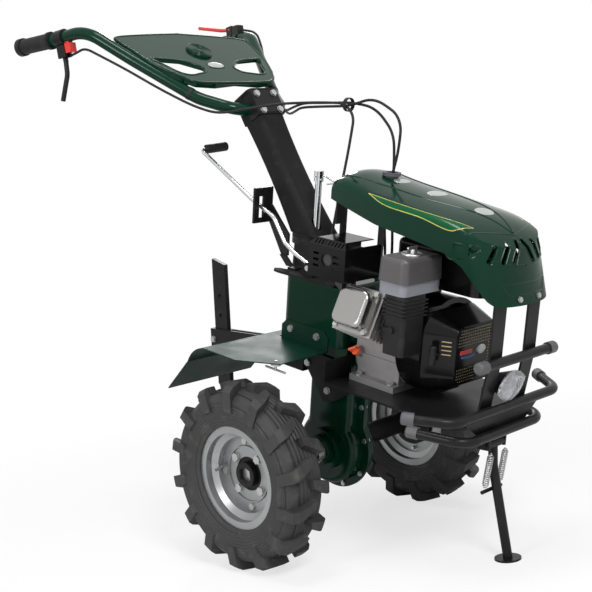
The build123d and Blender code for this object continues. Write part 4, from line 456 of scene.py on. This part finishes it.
def turned(name: str, profile: np.ndarray, centre: np.ndarray, axes: np.ndarray, finish: Finish, body: str,
           slot: str, count: int = 48) -> bpy.types.Object:
    """Turns a profile about an axis, in level millimetres, with the last axis pointing out.

    Args:
        name: the piece's name.
        profile: array of n x 2, the distance from the axis and the height along it, from the foot up.
        centre: a level point on the axis.
        axes: three rows: two across, whose lengths scale the profile, and the axis.
        finish: its finish.
        body: the body that it rides on.
        slot: not used.
        count: how many columns go round.

    Returns:
        The new object.
    """
    angle = np.linspace(0, 2 * np.pi, count + 1)[:-1]
    across = axes[0] * np.cos(angle)[:, None] + axes[1] * np.sin(angle)[:, None]
    points = centre + profile[:, None, :1] * across[None] + profile[:, None, 1:] * axes[2]
    return grid_piece(name, place(points), finish, body, wrap=True)


# ------------------------------------------------------------------ sub-assemblies
@dataclass
class Paintwork:
    """The CAD nodes' finishes."""

    def dress(self) -> None:
        """Gives each CAD node its finish."""
        for node, finish in NODE_FINISHES.items():
            self._assign(node, finish.material())
        self._assign("headlight_lens", LensGlass().material())

    @staticmethod
    def _assign(node: str, material: bpy.types.Material) -> None:
        """Puts one material in every slot of a node."""
        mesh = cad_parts[node].data
        if not mesh.materials:
            mesh.materials.append(material)
        for number in range(len(mesh.materials)):
            mesh.materials[number] = material


@dataclass
class HoodTrim:
    """Creases, stripe and bare badges on the hood, in level millimetres."""

    crease: tuple[float, float] = (7.0, 2.0)        # width and height of each kind of bead
    pin_line: tuple[float, float] = (2.2, 0.6)
    seam: tuple[float, float] = (4.5, 1.1)
    lip: tuple[float, float] = (7.0, 1.6)
    framing: tuple[float, float] = (3.4, 1.0)
    slot_rim: tuple[float, float] = (3.0, 1.3)
    sink: float = 0.12              # how far a bead's edges lie under the skin
    lift: float = 0.3               # how far the stripe lies over the skin
    stand_off: float = 40.0         # where the rays start, outside the skin

    slot_count: int = 4             # on each side of the middle
    slot_first: float = 8.0
    slot_pitch: float = 30.0
    slot_slant: float = 26.0
    slot_height: float = 44.0
    slot_shorter: float = 6.0       # how much shorter each next slot is
    slot_width: float = 9.0
    slot_level: float = 548.0
    rim_gap: float = 2.0            # from the slot's edge to the rim's middle

    STRIPE_UPPER = ((128, -99, 622), (216, -102, 614), (318, -100, 605), (389, -84, 593))
    STRIPE_LOWER = ((128, -99, 622), (183, -109, 607), (276, -110, 598), (357, -110, 585), (389, -84, 593))
    CREASE = ((28, -72, 640), (98, -60, 643), (170, -54, 634), (244, -51, 625), (330, -34, 612),
              (396, -14, 597), (424, -2, 580))
    SEAM = ((352, -113, 556), (372, -112, 572), (390, -105, 583), (411, -66, 585), (420, -33, 582),
            (428, 0, 577))
    LIP = ((408, -108, 566), (430, -94, 545), (447, -68, 531), (456, -36, 524), (459, 0, 521))
    FRAME = ((457, -71, 492), (462, -36, 492), (463, 0, 492), (462, 36, 492), (457, 71, 492), (462, 64, 481),
             (468, 55, 470), (471, 28, 470), (472, 0, 470), (471, -28, 470), (468, -55, 470), (462, -64, 481),
             (457, -71, 492))
    BADGES = ((134, 0, 644, 15, 22), (231, 0, 631, 17, 27), (352, 0, 612, 17, 24))

    def build(self) -> None:
        """Lays each crease, line and plate on the hood's skin."""
        self.skin = Skin("hood")
        for side, word in ((1, "right"), (-1, "left")):
            flip = np.array([1.0, side, 1.0])
            out_side = np.array([0.0, 0.75 * side, -0.66])
            out_front = np.array([-0.75, 0.25 * side, -0.61])
            upper = smooth_line(np.array(self.STRIPE_UPPER, float), 48) * flip
            lower = smooth_line(np.array(self.STRIPE_LOWER, float), 48) * flip
            self._panel(f"hood_stripe_{word}", upper, lower, out_side, side)
            self._bead(f"stripe_line_upper_{word}", upper, out_side, self.pin_line, PINLINE)
            self._bead(f"stripe_line_lower_{word}", lower, out_side, self.pin_line, PINLINE)
            crease = smooth_line(np.array(self.CREASE, float), 90) * flip
            self._bead(f"hood_crease_{word}", crease, np.array([0, 0, -1.0]), self.crease, GREEN)
            seam = smooth_line(np.array(self.SEAM, float), 60) * flip
            self._bead(f"nose_seam_{word}", seam, out_front, self.seam, GREEN)
            lip = smooth_line(np.array(self.LIP, float), 60) * flip
            self._bead(f"nose_lip_{word}", lip, out_front, self.lip, GREEN)
            for step in range(self.slot_count):
                self._slot_rim(f"slot_rim_{word}_{step + 1}", side, step)
        framing = smooth_line(np.array(self.FRAME, float), 150)
        self._bead("nose_frame", framing, np.array([-1.0, 0, 0]), self.framing, GREEN)
        for number, (x, y, z, rx, ry) in enumerate(self.BADGES):
            self._badge(f"bare_badge_{number + 1}", np.array([x, y, z], float), rx, ry)

    def _lay(self, guide: np.ndarray, way: np.ndarray, up: np.ndarray) -> np.ndarray:
        """Moves guide points onto the hood along a level direction, then lifts them.

        Args:
            guide: level points near the skin.
            way: level direction towards the skin.
            up: how far each point stands off the skin, in millimetres.

        Returns:
            Points in metres in the frame.
        """
        way = way / np.linalg.norm(way)
        turned = place(way * 1000) - place(np.zeros(3))
        start = place(guide - way * self.stand_off)
        return self.skin.meet(start, turned) - turned * (up * MM)[..., None]

    def _panel(self, name: str, upper: np.ndarray, lower: np.ndarray, way: np.ndarray,
               side: int) -> None:
        """A thin painted panel ruled between two lines on the skin."""
        share = np.linspace(0, 1, 10)[None, :, None]
        guide = upper[:, None] * (1 - share) + lower[:, None] * share
        points = self._lay(guide, way, np.full(guide.shape[:2], self.lift))
        grid_piece(name, points if side > 0 else points[:, ::-1], STRIPE, "chassis")

    def _bead(self, name: str, line: np.ndarray, way: np.ndarray, size: tuple[float, float],
              finish: Finish) -> None:
        """A raised bead along a line: its height is (1 - t^2)^2 across the width, t from -1 to 1."""
        width, height = size
        along = np.gradient(line, axis=0)
        along /= np.linalg.norm(along, axis=1, keepdims=True)
        off = np.cross(along, way / np.linalg.norm(way))
        off /= np.linalg.norm(off, axis=1, keepdims=True)
        t = np.linspace(-1, 1, 9)
        guide = line[:, None] + off[:, None] * (t * width / 2)[None, :, None]
        up = np.broadcast_to(height * (1 - t ** 2) ** 2 - self.sink, guide.shape[:2])
        grid_piece(name, self._lay(guide, way, up), finish, "chassis")

    def _slot_rim(self, name: str, side: int, step: int) -> None:
        """A raised rim round one slot: two straights and two half circles, evenly divided."""
        tilt = side * math.atan2(self.slot_slant, self.slot_height)
        half = (self.slot_height / math.cos(tilt) - self.slot_shorter * step - self.slot_width) / 2
        centre_y = side * (self.slot_first + step * self.slot_pitch + self.slot_slant / 2)
        angle = np.linspace(0, 2 * np.pi, 41)
        reach = self.slot_width / 2 + self.rim_gap
        across, along = reach * np.cos(angle), reach * np.sin(angle) + half * np.sign(np.sin(angle + 1e-6))
        travel = np.concatenate([[0], np.cumsum(np.hypot(np.diff(across), np.diff(along)))])
        even = np.linspace(0, travel[-1], 64)
        across, along = np.interp(even, travel, across), np.interp(even, travel, along)
        y = centre_y + across * math.cos(tilt) - along * math.sin(tilt)
        z = self.slot_level + across * math.sin(tilt) + along * math.cos(tilt)
        line = np.stack([self._nose_x(y, z), y, z], -1)
        self._bead(name, line, np.array([-1.0, 0, 0]), self.slot_rim, GREEN)

    @staticmethod
    def _nose_x(y: np.ndarray, z: np.ndarray) -> np.ndarray:
        """About where the nose's face lies: it leans back as it rises and bows back to the sides."""
        return 459 - 0.55 * (z - 521) - 50 * (np.abs(y) / 108) ** 2.6

    def _badge(self, name: str, centre: np.ndarray, rx: float, ry: float) -> None:
        """A bare oval plate with a rounded edge, in rings from its middle out."""
        ring = np.array([0.001, 0.35, 0.7, 0.9, 0.97, 1.0])[:, None]
        rise = np.array([1.1, 1.1, 1.0, 0.8, 0.5, -0.1])[:, None]
        angle = np.linspace(0, 2 * np.pi, 49)[None, :-1]
        guide = np.stack([centre[0] + rx * ring * np.cos(angle), centre[1] + ry * ring * np.sin(angle),
                          np.full((6, 48), centre[2])], -1)
        points = self._lay(guide, np.array([0, 0, -1.0]), np.broadcast_to(rise, guide.shape[:2]))
        grid_piece(name, points, BADGE, "chassis", wrap=True)


@dataclass
class ConsoleTrim:
    """Rolled edges, pressed rings and a bare plate on the console panel."""

    origin: tuple[float, float, float] = (-525.0, 0.0, 858.0)
    tilt: float = math.radians(23.0)
    outer_edge: tuple[float, float] = (4.2, -2.6)       # radius, and height of its middle off the face
    window_edge: tuple[float, float] = (3.6, -1.6)
    boss_at: float = -20.0                              # down the slope from the origin
    boss_top: float = 5.8
    rings: tuple[float, ...] = (10.0, 17.0, 24.0, 31.0)
    plate_at: tuple[float, float] = (52.0, -2.0)
    plate_half: tuple[float, float] = (14.0, 24.0)

    OUTLINE = ((-118, 0), (-108, 110), (-95, 196), (-76, 211), (-30, 202), (20, 191), (84, 160), (129, 124),
               (137, 70), (137, 0))
    WINDOW = ((14, 174), (22, 110), (38, 72), (62, 50), (84, 58), (93, 84), (99, 110), (94, 130), (80, 144),
              (50, 158), (24, 176), (14, 174))

    def build(self) -> None:
        """Lays the edges, then the rings and the plate."""
        half = np.array(self.OUTLINE, float)
        whole = np.concatenate([half, half[::-1][1:] * [1, -1], half[:1]])
        self._edge("console_edge", smooth_line(whole, 260), *self.outer_edge)
        for side, word in ((1, "left"), (-1, "right")):
            window = smooth_line(np.array(self.WINDOW, float), 110) * [1, side]
            self._edge(f"console_window_{word}", window, *self.window_edge)
        axes = np.stack([self._point(1, 0, 0) - self._point(0, 0, 0), np.array([0, 1.0, 0]),
                         self._point(0, 0, 1) - self._point(0, 0, 0)])
        section = np.array([(1.8, 0.0), (1.2, 1.1), (0.0, 1.6), (-1.2, 1.1), (-1.8, 0.0)])
        for number, radius in enumerate(self.rings):
            turned(f"console_ring_{number + 1}", section + [radius, self.boss_top],
                   self._point(self.boss_at, 0, 0), axes, GREEN, "column", "green_paint")
        plate = np.array([(1.0, 1.0), (0.99, 1.9), (0.93, 2.3), (0.5, 2.4), (0.001, 2.4)])
        stretched = axes * np.array([*self.plate_half, 1.0])[:, None]
        turned("console_plate", plate, self._point(*self.plate_at, 0), stretched, BADGE, "column", "zinc")

    def _point(self, u: float | np.ndarray, v: float | np.ndarray, w: float | np.ndarray) -> np.ndarray:
        """Level point of the panel: u down its slope to the front, v to the left, w off its face."""
        c, s = math.cos(self.tilt), math.sin(self.tilt)
        x, y, z = self.origin
        return np.stack([x + c * u + s * w, y + v, z - s * u + c * w], -1)

    def _edge(self, name: str, line: np.ndarray, radius: float, depth: float) -> None:
        """A rolled edge along a line in the panel's own plane."""
        points = self._point(line[:, 0], line[:, 1], np.full(len(line), depth))
        across = self._point(0, 0, 1) - self._point(0, 0, 0)
        tube(name, points, radius, GREEN, "column", up=tuple(across))


@dataclass
class EngineTrim:
    """Small parts of the engine: perforations, stripes, louvres and the filter's disc."""

    face_x: float = 360.3           # just in front of the recoil cover
    crank_z: float = 316.0
    hole: float = 1.5
    hole_pitch: float = 6.4
    louvre_count: int = 4
    louvre_top: float = 32.0        # over the crankshaft
    louvre_pitch: float = 9.0
    side_back: tuple[float, float] = (300.0, -98.6)     # x and y of the cover's side wall
    side_front: tuple[float, float] = (360.0, -63.6)
    filter_at: tuple[float, float] = (270.0, -118.0)

    def build(self) -> None:
        """Adds the recoil cover's face and the air cleaner's disc."""
        self._perforations()
        self._stripe("recoil_stripe_red", (-50, -8), (self.crank_z + 3, self.crank_z + 12), 0.0, RED)
        self._stripe("recoil_stripe_blue", (-46, 2), (self.crank_z - 4, self.crank_z + 1), 3.0, BLUE)
        front = np.array([[0, 17.0, 0], [0, 0, 10.0], [1.0, 0, 0]])
        plate = np.array([(1.0, 0.0), (0.97, 0.8), (0.6, 1.1), (0.001, 1.2)])
        turned("recoil_plate", plate, np.array([self.face_x - 0.2, 22.0, self.crank_z + 6]), front, BADGE,
               "chassis", "zinc")
        share = np.linspace(0.56, 0.86, 12)[:, None]
        for number in range(self.louvre_count):
            z = self.crank_z + self.louvre_top - self.louvre_pitch * number
            line = np.array([*self.side_back, z]) * (1 - share) + np.array([*self.side_front, z]) * share
            tube(f"recoil_louvre_{number + 1}", line, self.hole, BRASS, "chassis")
        disc = np.array([(21.6, 521.4), (21.6, 524.8), (20.8, 525.4), (8.0, 525.8), (7.6, 526.6),
                         (7.5, 532.0), (6.0, 533.4), (CLOSED, 533.8)])
        middle = np.array([*self.filter_at, 0])
        turned("filter_disc", disc, middle, np.eye(3), ZINC, "chassis", "zinc")
        wing = middle + np.array([(0, -15, 537), (0, -10, 532.5), (0, 0, 531), (0, 10, 532.5), (0, 15, 537)])
        tube("filter_wing", smooth_line(wing, 24), 2.4, ZINC, "chassis", up=(1.0, 0.0, 0.0))

    def _perforations(self) -> None:
        """Rows of small round holes, as flat octagons, left out where the stripes lie."""
        y, z = np.meshgrid(np.arange(-55.0, 68.0, self.hole_pitch), np.arange(-54.0, 58.0, self.hole_pitch))
        y, z = y.ravel(), z.ravel()
        kept = (z > 20) | (y > 44) | ((z < -24) & (y < 8))
        corner = (np.abs(y - 6) > 56) & (np.abs(z) > 48)
        y, z = y[kept & ~corner], z[kept & ~corner]
        angle = np.linspace(0, 2 * np.pi, 9)[:-1]
        points = np.stack([np.full((len(y), 8), self.face_x), y[:, None] + self.hole * np.cos(angle),
                           self.crank_z + z[:, None] + self.hole * np.sin(angle)], -1)
        fan = np.array([(0, 1, 2, 3), (0, 3, 4, 7), (4, 5, 6, 7)])
        faces = (np.arange(len(y))[:, None, None] * 8 + fan).reshape(-1, 4)
        mesh_piece("recoil_perforations", place(points).reshape(-1, 3), faces, BRASS, "chassis")

    def _stripe(self, name: str, across: tuple[float, float], height: tuple[float, float], sag: float,
                finish: Finish) -> None:
        """A flat stripe on the cover's face that sags by a sine along its length."""
        share = np.linspace(0, 1, 24)
        y = across[0] + (across[1] - across[0]) * share
        drop = sag * np.sin(np.pi * share)
        rows = [np.stack([np.full(24, self.face_x), y, np.full(24, z) - drop], -1) for z in height]
        grid_piece(name, place(np.stack(rows)[::-1]), finish, "chassis")


@dataclass
class Tyres:
    """Moulded rings on the side walls and the crown, measured off the carcass between the lugs."""

    track: float = 573.0
    samples: int = 12               # rays round the tyre, so that some fall between the lugs
    turn: float = 0.03              # keeps the rays off the mesh's own edges
    columns: int = 160
    wall: tuple[float, float] = (122.0, 168.0)
    wall_rings: int = 7
    wall_wave: tuple[float, float] = (0.5, 0.8)         # lift off the carcass, and height of the wave
    crown_half: float = 30.0
    crown_rings: int = 6
    crown_wave: tuple[float, float] = (0.4, 1.0)
    start_side: float = 95.0        # where the rays start, from the tyre's middle
    start_out: float = 235.0        # and from the axle

    def build(self) -> None:
        """Measures the right tyre once and dresses both."""
        skin = Skin("tyre_right")
        angle = np.linspace(self.turn, 2 * np.pi + self.turn, self.samples, endpoint=False)
        self._walls(skin, angle)
        self._crowns(skin, angle)

    def _walls(self, skin: Skin, angle: np.ndarray) -> None:
        """Two rippled bands on each tyre: the carcass's width at each radius, plus a cosine wave."""
        middle = -self.track / 2
        inner, outer = self.wall
        radius = np.linspace(inner, outer, 44)
        side_on = np.full((len(radius), self.samples), middle - self.start_side)
        start = np.stack([radius[:, None] * np.cos(angle), side_on, radius[:, None] * np.sin(angle)], -1)
        hit = skin.meet(place(start), np.array([0, 1.0, 0]))
        width = middle - hit[..., 1].max(1) / MM
        lift, wave = self.wall_wave
        share = (radius - inner) / (outer - inner)
        ripple = lift + wave * np.cos(share * 2 * np.pi * self.wall_rings)
        profile = np.stack([radius, width + ripple], -1)[::-1]
        for side, word in ((-1, "right"), (1, "left")):
            for face, where in ((side, "outer"), (-side, "inner")):
                axes = np.array([[1.0, 0, 0], [0, 0, -1.0 * face], [0, 1.0 * face, 0]])
                turned(f"tyre_wall_{word}_{where}", profile, np.array([0, side * self.track / 2, 0]), axes,
                       TYRE, "wheels", "tyre", self.columns)

    def _crowns(self, skin: Skin, angle: np.ndarray) -> None:
        """A grooved band round each tyre: the carcass's radius at each place across, plus a wave."""
        half = self.crown_half
        across = np.linspace(-half, half, 37)
        out = np.stack([np.cos(angle), np.zeros(self.samples), np.sin(angle)], -1)
        begin = self.start_out * out[None]
        begin = begin + np.array([0, 1.0, 0]) * (across - self.track / 2)[:, None, None]
        way = place(out * 1000) - place(np.zeros(3))
        met = skin.meet(place(begin), np.broadcast_to(-way, begin.shape))
        back = np.linalg.norm((place(begin) - met) / MM, axis=-1)
        lift, wave = self.crown_wave
        radius = self.start_out - back.max(1) + lift
        radius = radius + wave * np.cos(across / (2 * half) * 2 * np.pi * self.crown_rings)
        profile = np.stack([radius, across], -1)[::-1]
        axes = np.array([[1.0, 0, 0], [0, 0, 1.0], [0, -1.0, 0]])
        for side, word in ((-1, "right"), (1, "left")):
            turned(f"tyre_crown_{word}", profile, np.array([0, side * self.track / 2, 0]), axes, TYRE,
                   "wheels", "tyre", self.columns)


@dataclass
class StandSprings:
    """The two coiled springs of the front stand."""

    low: tuple[float, float, float] = (436.3, 26.0, 49.0)
    high: tuple[float, float, float] = (443.7, 26.0, 127.0)
    turns: int = 17
    turn_points: int = 24
    coil: float = 6.0               # radius of the coil's middle line
    wire: float = 1.25              # radius of the wire

    def build(self) -> None:
        """Winds both springs into one piece, which takes the place of the plain ones.

        Each is a helix whose radius closes in over its first and last turns.
        """
        share = np.linspace(0, 1, self.turn_points * self.turns)
        low, high = np.array(self.low), np.array(self.high)
        along = (high - low) / np.linalg.norm(high - low)
        one = np.cross(along, [0, 1.0, 0])
        angle = 2 * np.pi * self.turns * share
        spread = self.coil * np.minimum(1.0, 8 * np.minimum(share, 1 - share) + 0.25)
        line = (low + (high - low) * share[:, None] + (spread * np.cos(angle))[:, None] * one
                + (spread * np.sin(angle))[:, None] * np.array([0, 1.0, 0]))
        left, right = (tube_points(line * [1, side, 1], self.wire, along) for side in (1, -1))
        faces = grid_faces(left.shape[0], left.shape[1], True)
        points = np.concatenate([left.reshape(-1, 3), right.reshape(-1, 3)])
        faces = np.concatenate([faces, faces + left.shape[0] * left.shape[1]])
        piece = mesh_piece("stand_coils", points, faces, ZINC, "stand")
        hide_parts("stand_springs")


@dataclass
class HeadlightInside:
    """The bright bowl and the bulb behind the headlight's glass."""

    at: tuple[float, float, float] = (431.0, 0.0, 273.0)
    bowl_half: tuple[float, float] = (43.0, 27.0)
    bowl_depth: float = 23.0

    def build(self) -> None:
        """Turns an oval bowl: depth grows with the square of the radius."""
        share = np.linspace(1.0, 0.02, 16)
        profile = np.stack([share, self.bowl_depth * share ** 2], -1)
        axes = np.array([[0, 1.0, 0], [0, 0, 1.0], [1.0, 0, 0]])
        stretched = axes * np.array([*self.bowl_half, 1.0])[:, None]
        turned("headlight_bowl", profile, np.array(self.at), stretched, CHROME, "chassis", "zinc")
        bulb = np.array([(4.0, 0.0), (5.5, 5.0), (6.5, 9.0), (5.6, 12.5), (3.2, 14.6), (CLOSED, 15.4)])
        turned("headlight_bulb", bulb, np.array(self.at), axes, BADGE, "chassis", "zinc")


@dataclass
class Cables:
    """The three control cables, bending between the column and the chassis."""

    def build(self) -> None:
        """Copies the cables' own tubes, welds their doubled points and hides the plain ones."""
        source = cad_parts["control_cables"]
        mesh = source.data.copy()
        mesh.name = "cable_run"
        piece = bpy.data.objects.new("cable_run", mesh)
        bpy.context.scene.collection.objects.link(piece)
        shape = bmesh.new()
        shape.from_mesh(mesh)
        bmesh.ops.remove_doubles(shape, verts=shape.verts, dist=1e-6)
        shape.to_mesh(mesh)
        shape.free()
        mesh.shade_smooth()
        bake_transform(piece)
        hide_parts("control_cables")
        LOG.info("cable_run: %d faces", len(mesh.polygons))


# ------------------------------------------------------------------ stage
@dataclass
class Studio:
    """Floor, backdrop light and camera."""

    azimuth: float = 45.6
    elevation: float = 5.1
    roll: float = -6.2
    focal_px: float = 1148.0
    frame_px: float = 592.0
    eye: tuple[float, float, float] = (1.9095, -1.896, 0.803)
    centre_px: tuple[float, float] = (298.0, 295.0)

    def build(self) -> None:
        """Sets the floor, the world, the lamps and the camera."""
        self._floor()
        self._world()
        self._lamp("key_lamp", (2.6, -1.2, 2.6), 70.0, 0.9)
        self._lamp("fill_lamp", (0.2, -3.2, 1.5), 40.0, 1.0)
        self._lamp("back_lamp", (-2.4, 2.2, 2.4), 22.0, 0.9)
        self._lamp("top_lamp", (0.3, -0.4, 3.2), 24.0, 0.7)
        self._camera()

    @staticmethod
    def _floor() -> None:
        """A wide pale floor that fades into the white surroundings."""
        angle = np.linspace(0, 2 * np.pi, 97)[:-1]
        radius = np.array([0.001, 1.2, 2.4, 4.0, 9.0])[:, None]
        points = np.stack([radius * np.cos(angle), radius * np.sin(angle), np.zeros_like(radius * angle)], -1)
        rows, columns = points.shape[:2]
        index = np.arange(rows * columns).reshape(rows, columns)
        index = np.concatenate([index, index[:, :1]], 1)
        faces = np.stack([index[:-1, :-1], index[1:, :-1], index[1:, 1:], index[:-1, 1:]], -1).reshape(-1, 4)
        mesh = bpy.data.meshes.new("floor")
        mesh.from_pydata(points.reshape(-1, 3).tolist(), [], faces.tolist())
        mesh.update()
        floor = bpy.data.objects.new("floor", mesh)
        bpy.context.scene.collection.objects.link(floor)
        made = bpy.data.materials.new("pale_floor")
        made.use_nodes = True
        tree = made.node_tree
        shader = tree.nodes["Principled BSDF"]
        shader.inputs["Base Color"].default_value = (0.86, 0.86, 0.86, 1)
        shader.inputs["Roughness"].default_value = 0.9
        shader.inputs["Specular IOR Level"].default_value = 0.1
        glow = tree.nodes.new("ShaderNodeEmission")
        glow.inputs["Color"].default_value = (1, 1, 1, 1)
        where = tree.nodes.new("ShaderNodeTexCoord").outputs["Object"]
        length = tree.nodes.new("ShaderNodeVectorMath")
        length.operation = "LENGTH"
        tree.links.new(where, length.inputs[0])
        fade = tree.nodes.new("ShaderNodeMapRange")
        for name, number in (("From Min", 0.5), ("From Max", 1.7), ("To Min", 0.70), ("To Max", 1.0)):
            fade.inputs[name].default_value = number
        tree.links.new(length.outputs["Value"], fade.inputs["Value"])
        path = tree.nodes.new("ShaderNodeLightPath")
        seen = tree.nodes.new("ShaderNodeMath")
        seen.operation = "MULTIPLY"
        tree.links.new(path.outputs["Is Camera Ray"], seen.inputs[0])
        tree.links.new(fade.outputs["Result"], seen.inputs[1])
        mixed = tree.nodes.new("ShaderNodeMixShader")
        tree.links.new(seen.outputs["Value"], mixed.inputs["Fac"])
        tree.links.new(shader.outputs["BSDF"], mixed.inputs[1])
        tree.links.new(glow.outputs["Emission"], mixed.inputs[2])
        tree.links.new(mixed.outputs["Shader"], tree.nodes["Material Output"].inputs["Surface"])
        mesh.materials.append(made)

    @staticmethod
    def _world() -> None:
        """White to the eye and to glossy and clear surfaces, soft grey as a light."""
        world = bpy.data.worlds.new("studio")
        bpy.context.scene.world = world
        world.use_nodes = True
        tree = world.node_tree
        back = tree.nodes["Background"]
        back.inputs["Color"].default_value = (1, 1, 1, 1)
        path = tree.nodes.new("ShaderNodeLightPath")
        total = None
        for name in ("Is Camera Ray", "Is Transmission Ray", "Is Glossy Ray"):
            if total is None:
                total = path.outputs[name]
                continue
            most = tree.nodes.new("ShaderNodeMath")
            most.operation = "MAXIMUM"
            tree.links.new(total, most.inputs[0])
            tree.links.new(path.outputs[name], most.inputs[1])
            total = most.outputs["Value"]
        strength = tree.nodes.new("ShaderNodeMapRange")
        strength.inputs["To Min"].default_value = 0.42
        strength.inputs["To Max"].default_value = 1.0
        tree.links.new(total, strength.inputs["Value"])
        tree.links.new(strength.outputs["Result"], back.inputs["Strength"])

    @staticmethod
    def _lamp(name: str, at: tuple[float, float, float], power: float, size: float) -> None:
        """A square soft lamp that looks at the machine."""
        light = bpy.data.lights.new(name, "AREA")
        light.energy = power
        light.size = size
        lamp = bpy.data.objects.new(name, light)
        bpy.context.scene.collection.objects.link(lamp)
        lamp.location = at
        lamp.rotation_euler = (Vector((0, 0, 0.5)) - Vector(at)).to_track_quat("-Z", "Y").to_euler()

    def _camera(self) -> None:
        """Places the camera by its azimuth, elevation and roll."""
        a, e, roll = map(math.radians, (self.azimuth, self.elevation, self.roll))
        back = Vector((math.sin(a) * math.cos(e), -math.cos(a) * math.cos(e), math.sin(e)))
        right = Vector((math.cos(a), math.sin(a), 0))
        up = back.cross(right)
        turned = right * math.cos(roll) + up * math.sin(roll)
        upright = up * math.cos(roll) - right * math.sin(roll)
        data = bpy.data.cameras.new("camera")
        data.sensor_width = 36.0
        data.lens = self.focal_px / self.frame_px * data.sensor_width
        data.shift_x = -(self.centre_px[0] - self.frame_px / 2) / self.frame_px
        data.shift_y = (self.centre_px[1] - self.frame_px / 2) / self.frame_px
        camera = bpy.data.objects.new("camera", data)
        bpy.context.scene.collection.objects.link(camera)
        turn = Matrix((turned, upright, back)).transposed().to_4x4()
        camera.matrix_world = Matrix.Translation(Vector(self.eye)) @ turn
        bpy.context.scene.camera = camera
        bpy.context.scene.view_settings.view_transform = "Standard"


def main() -> None:
    """Builds every sub-assembly in order."""
    logging.basicConfig(level=logging.INFO, format="%(message)s")
    Paintwork().dress()
    HoodTrim().build()
    ConsoleTrim().build()
    EngineTrim().build()
    Tyres().build()
    StandSprings().build()
    HeadlightInside().build()
    Cables().build()
    Studio().build()


if __name__ == "__main__":
    main()
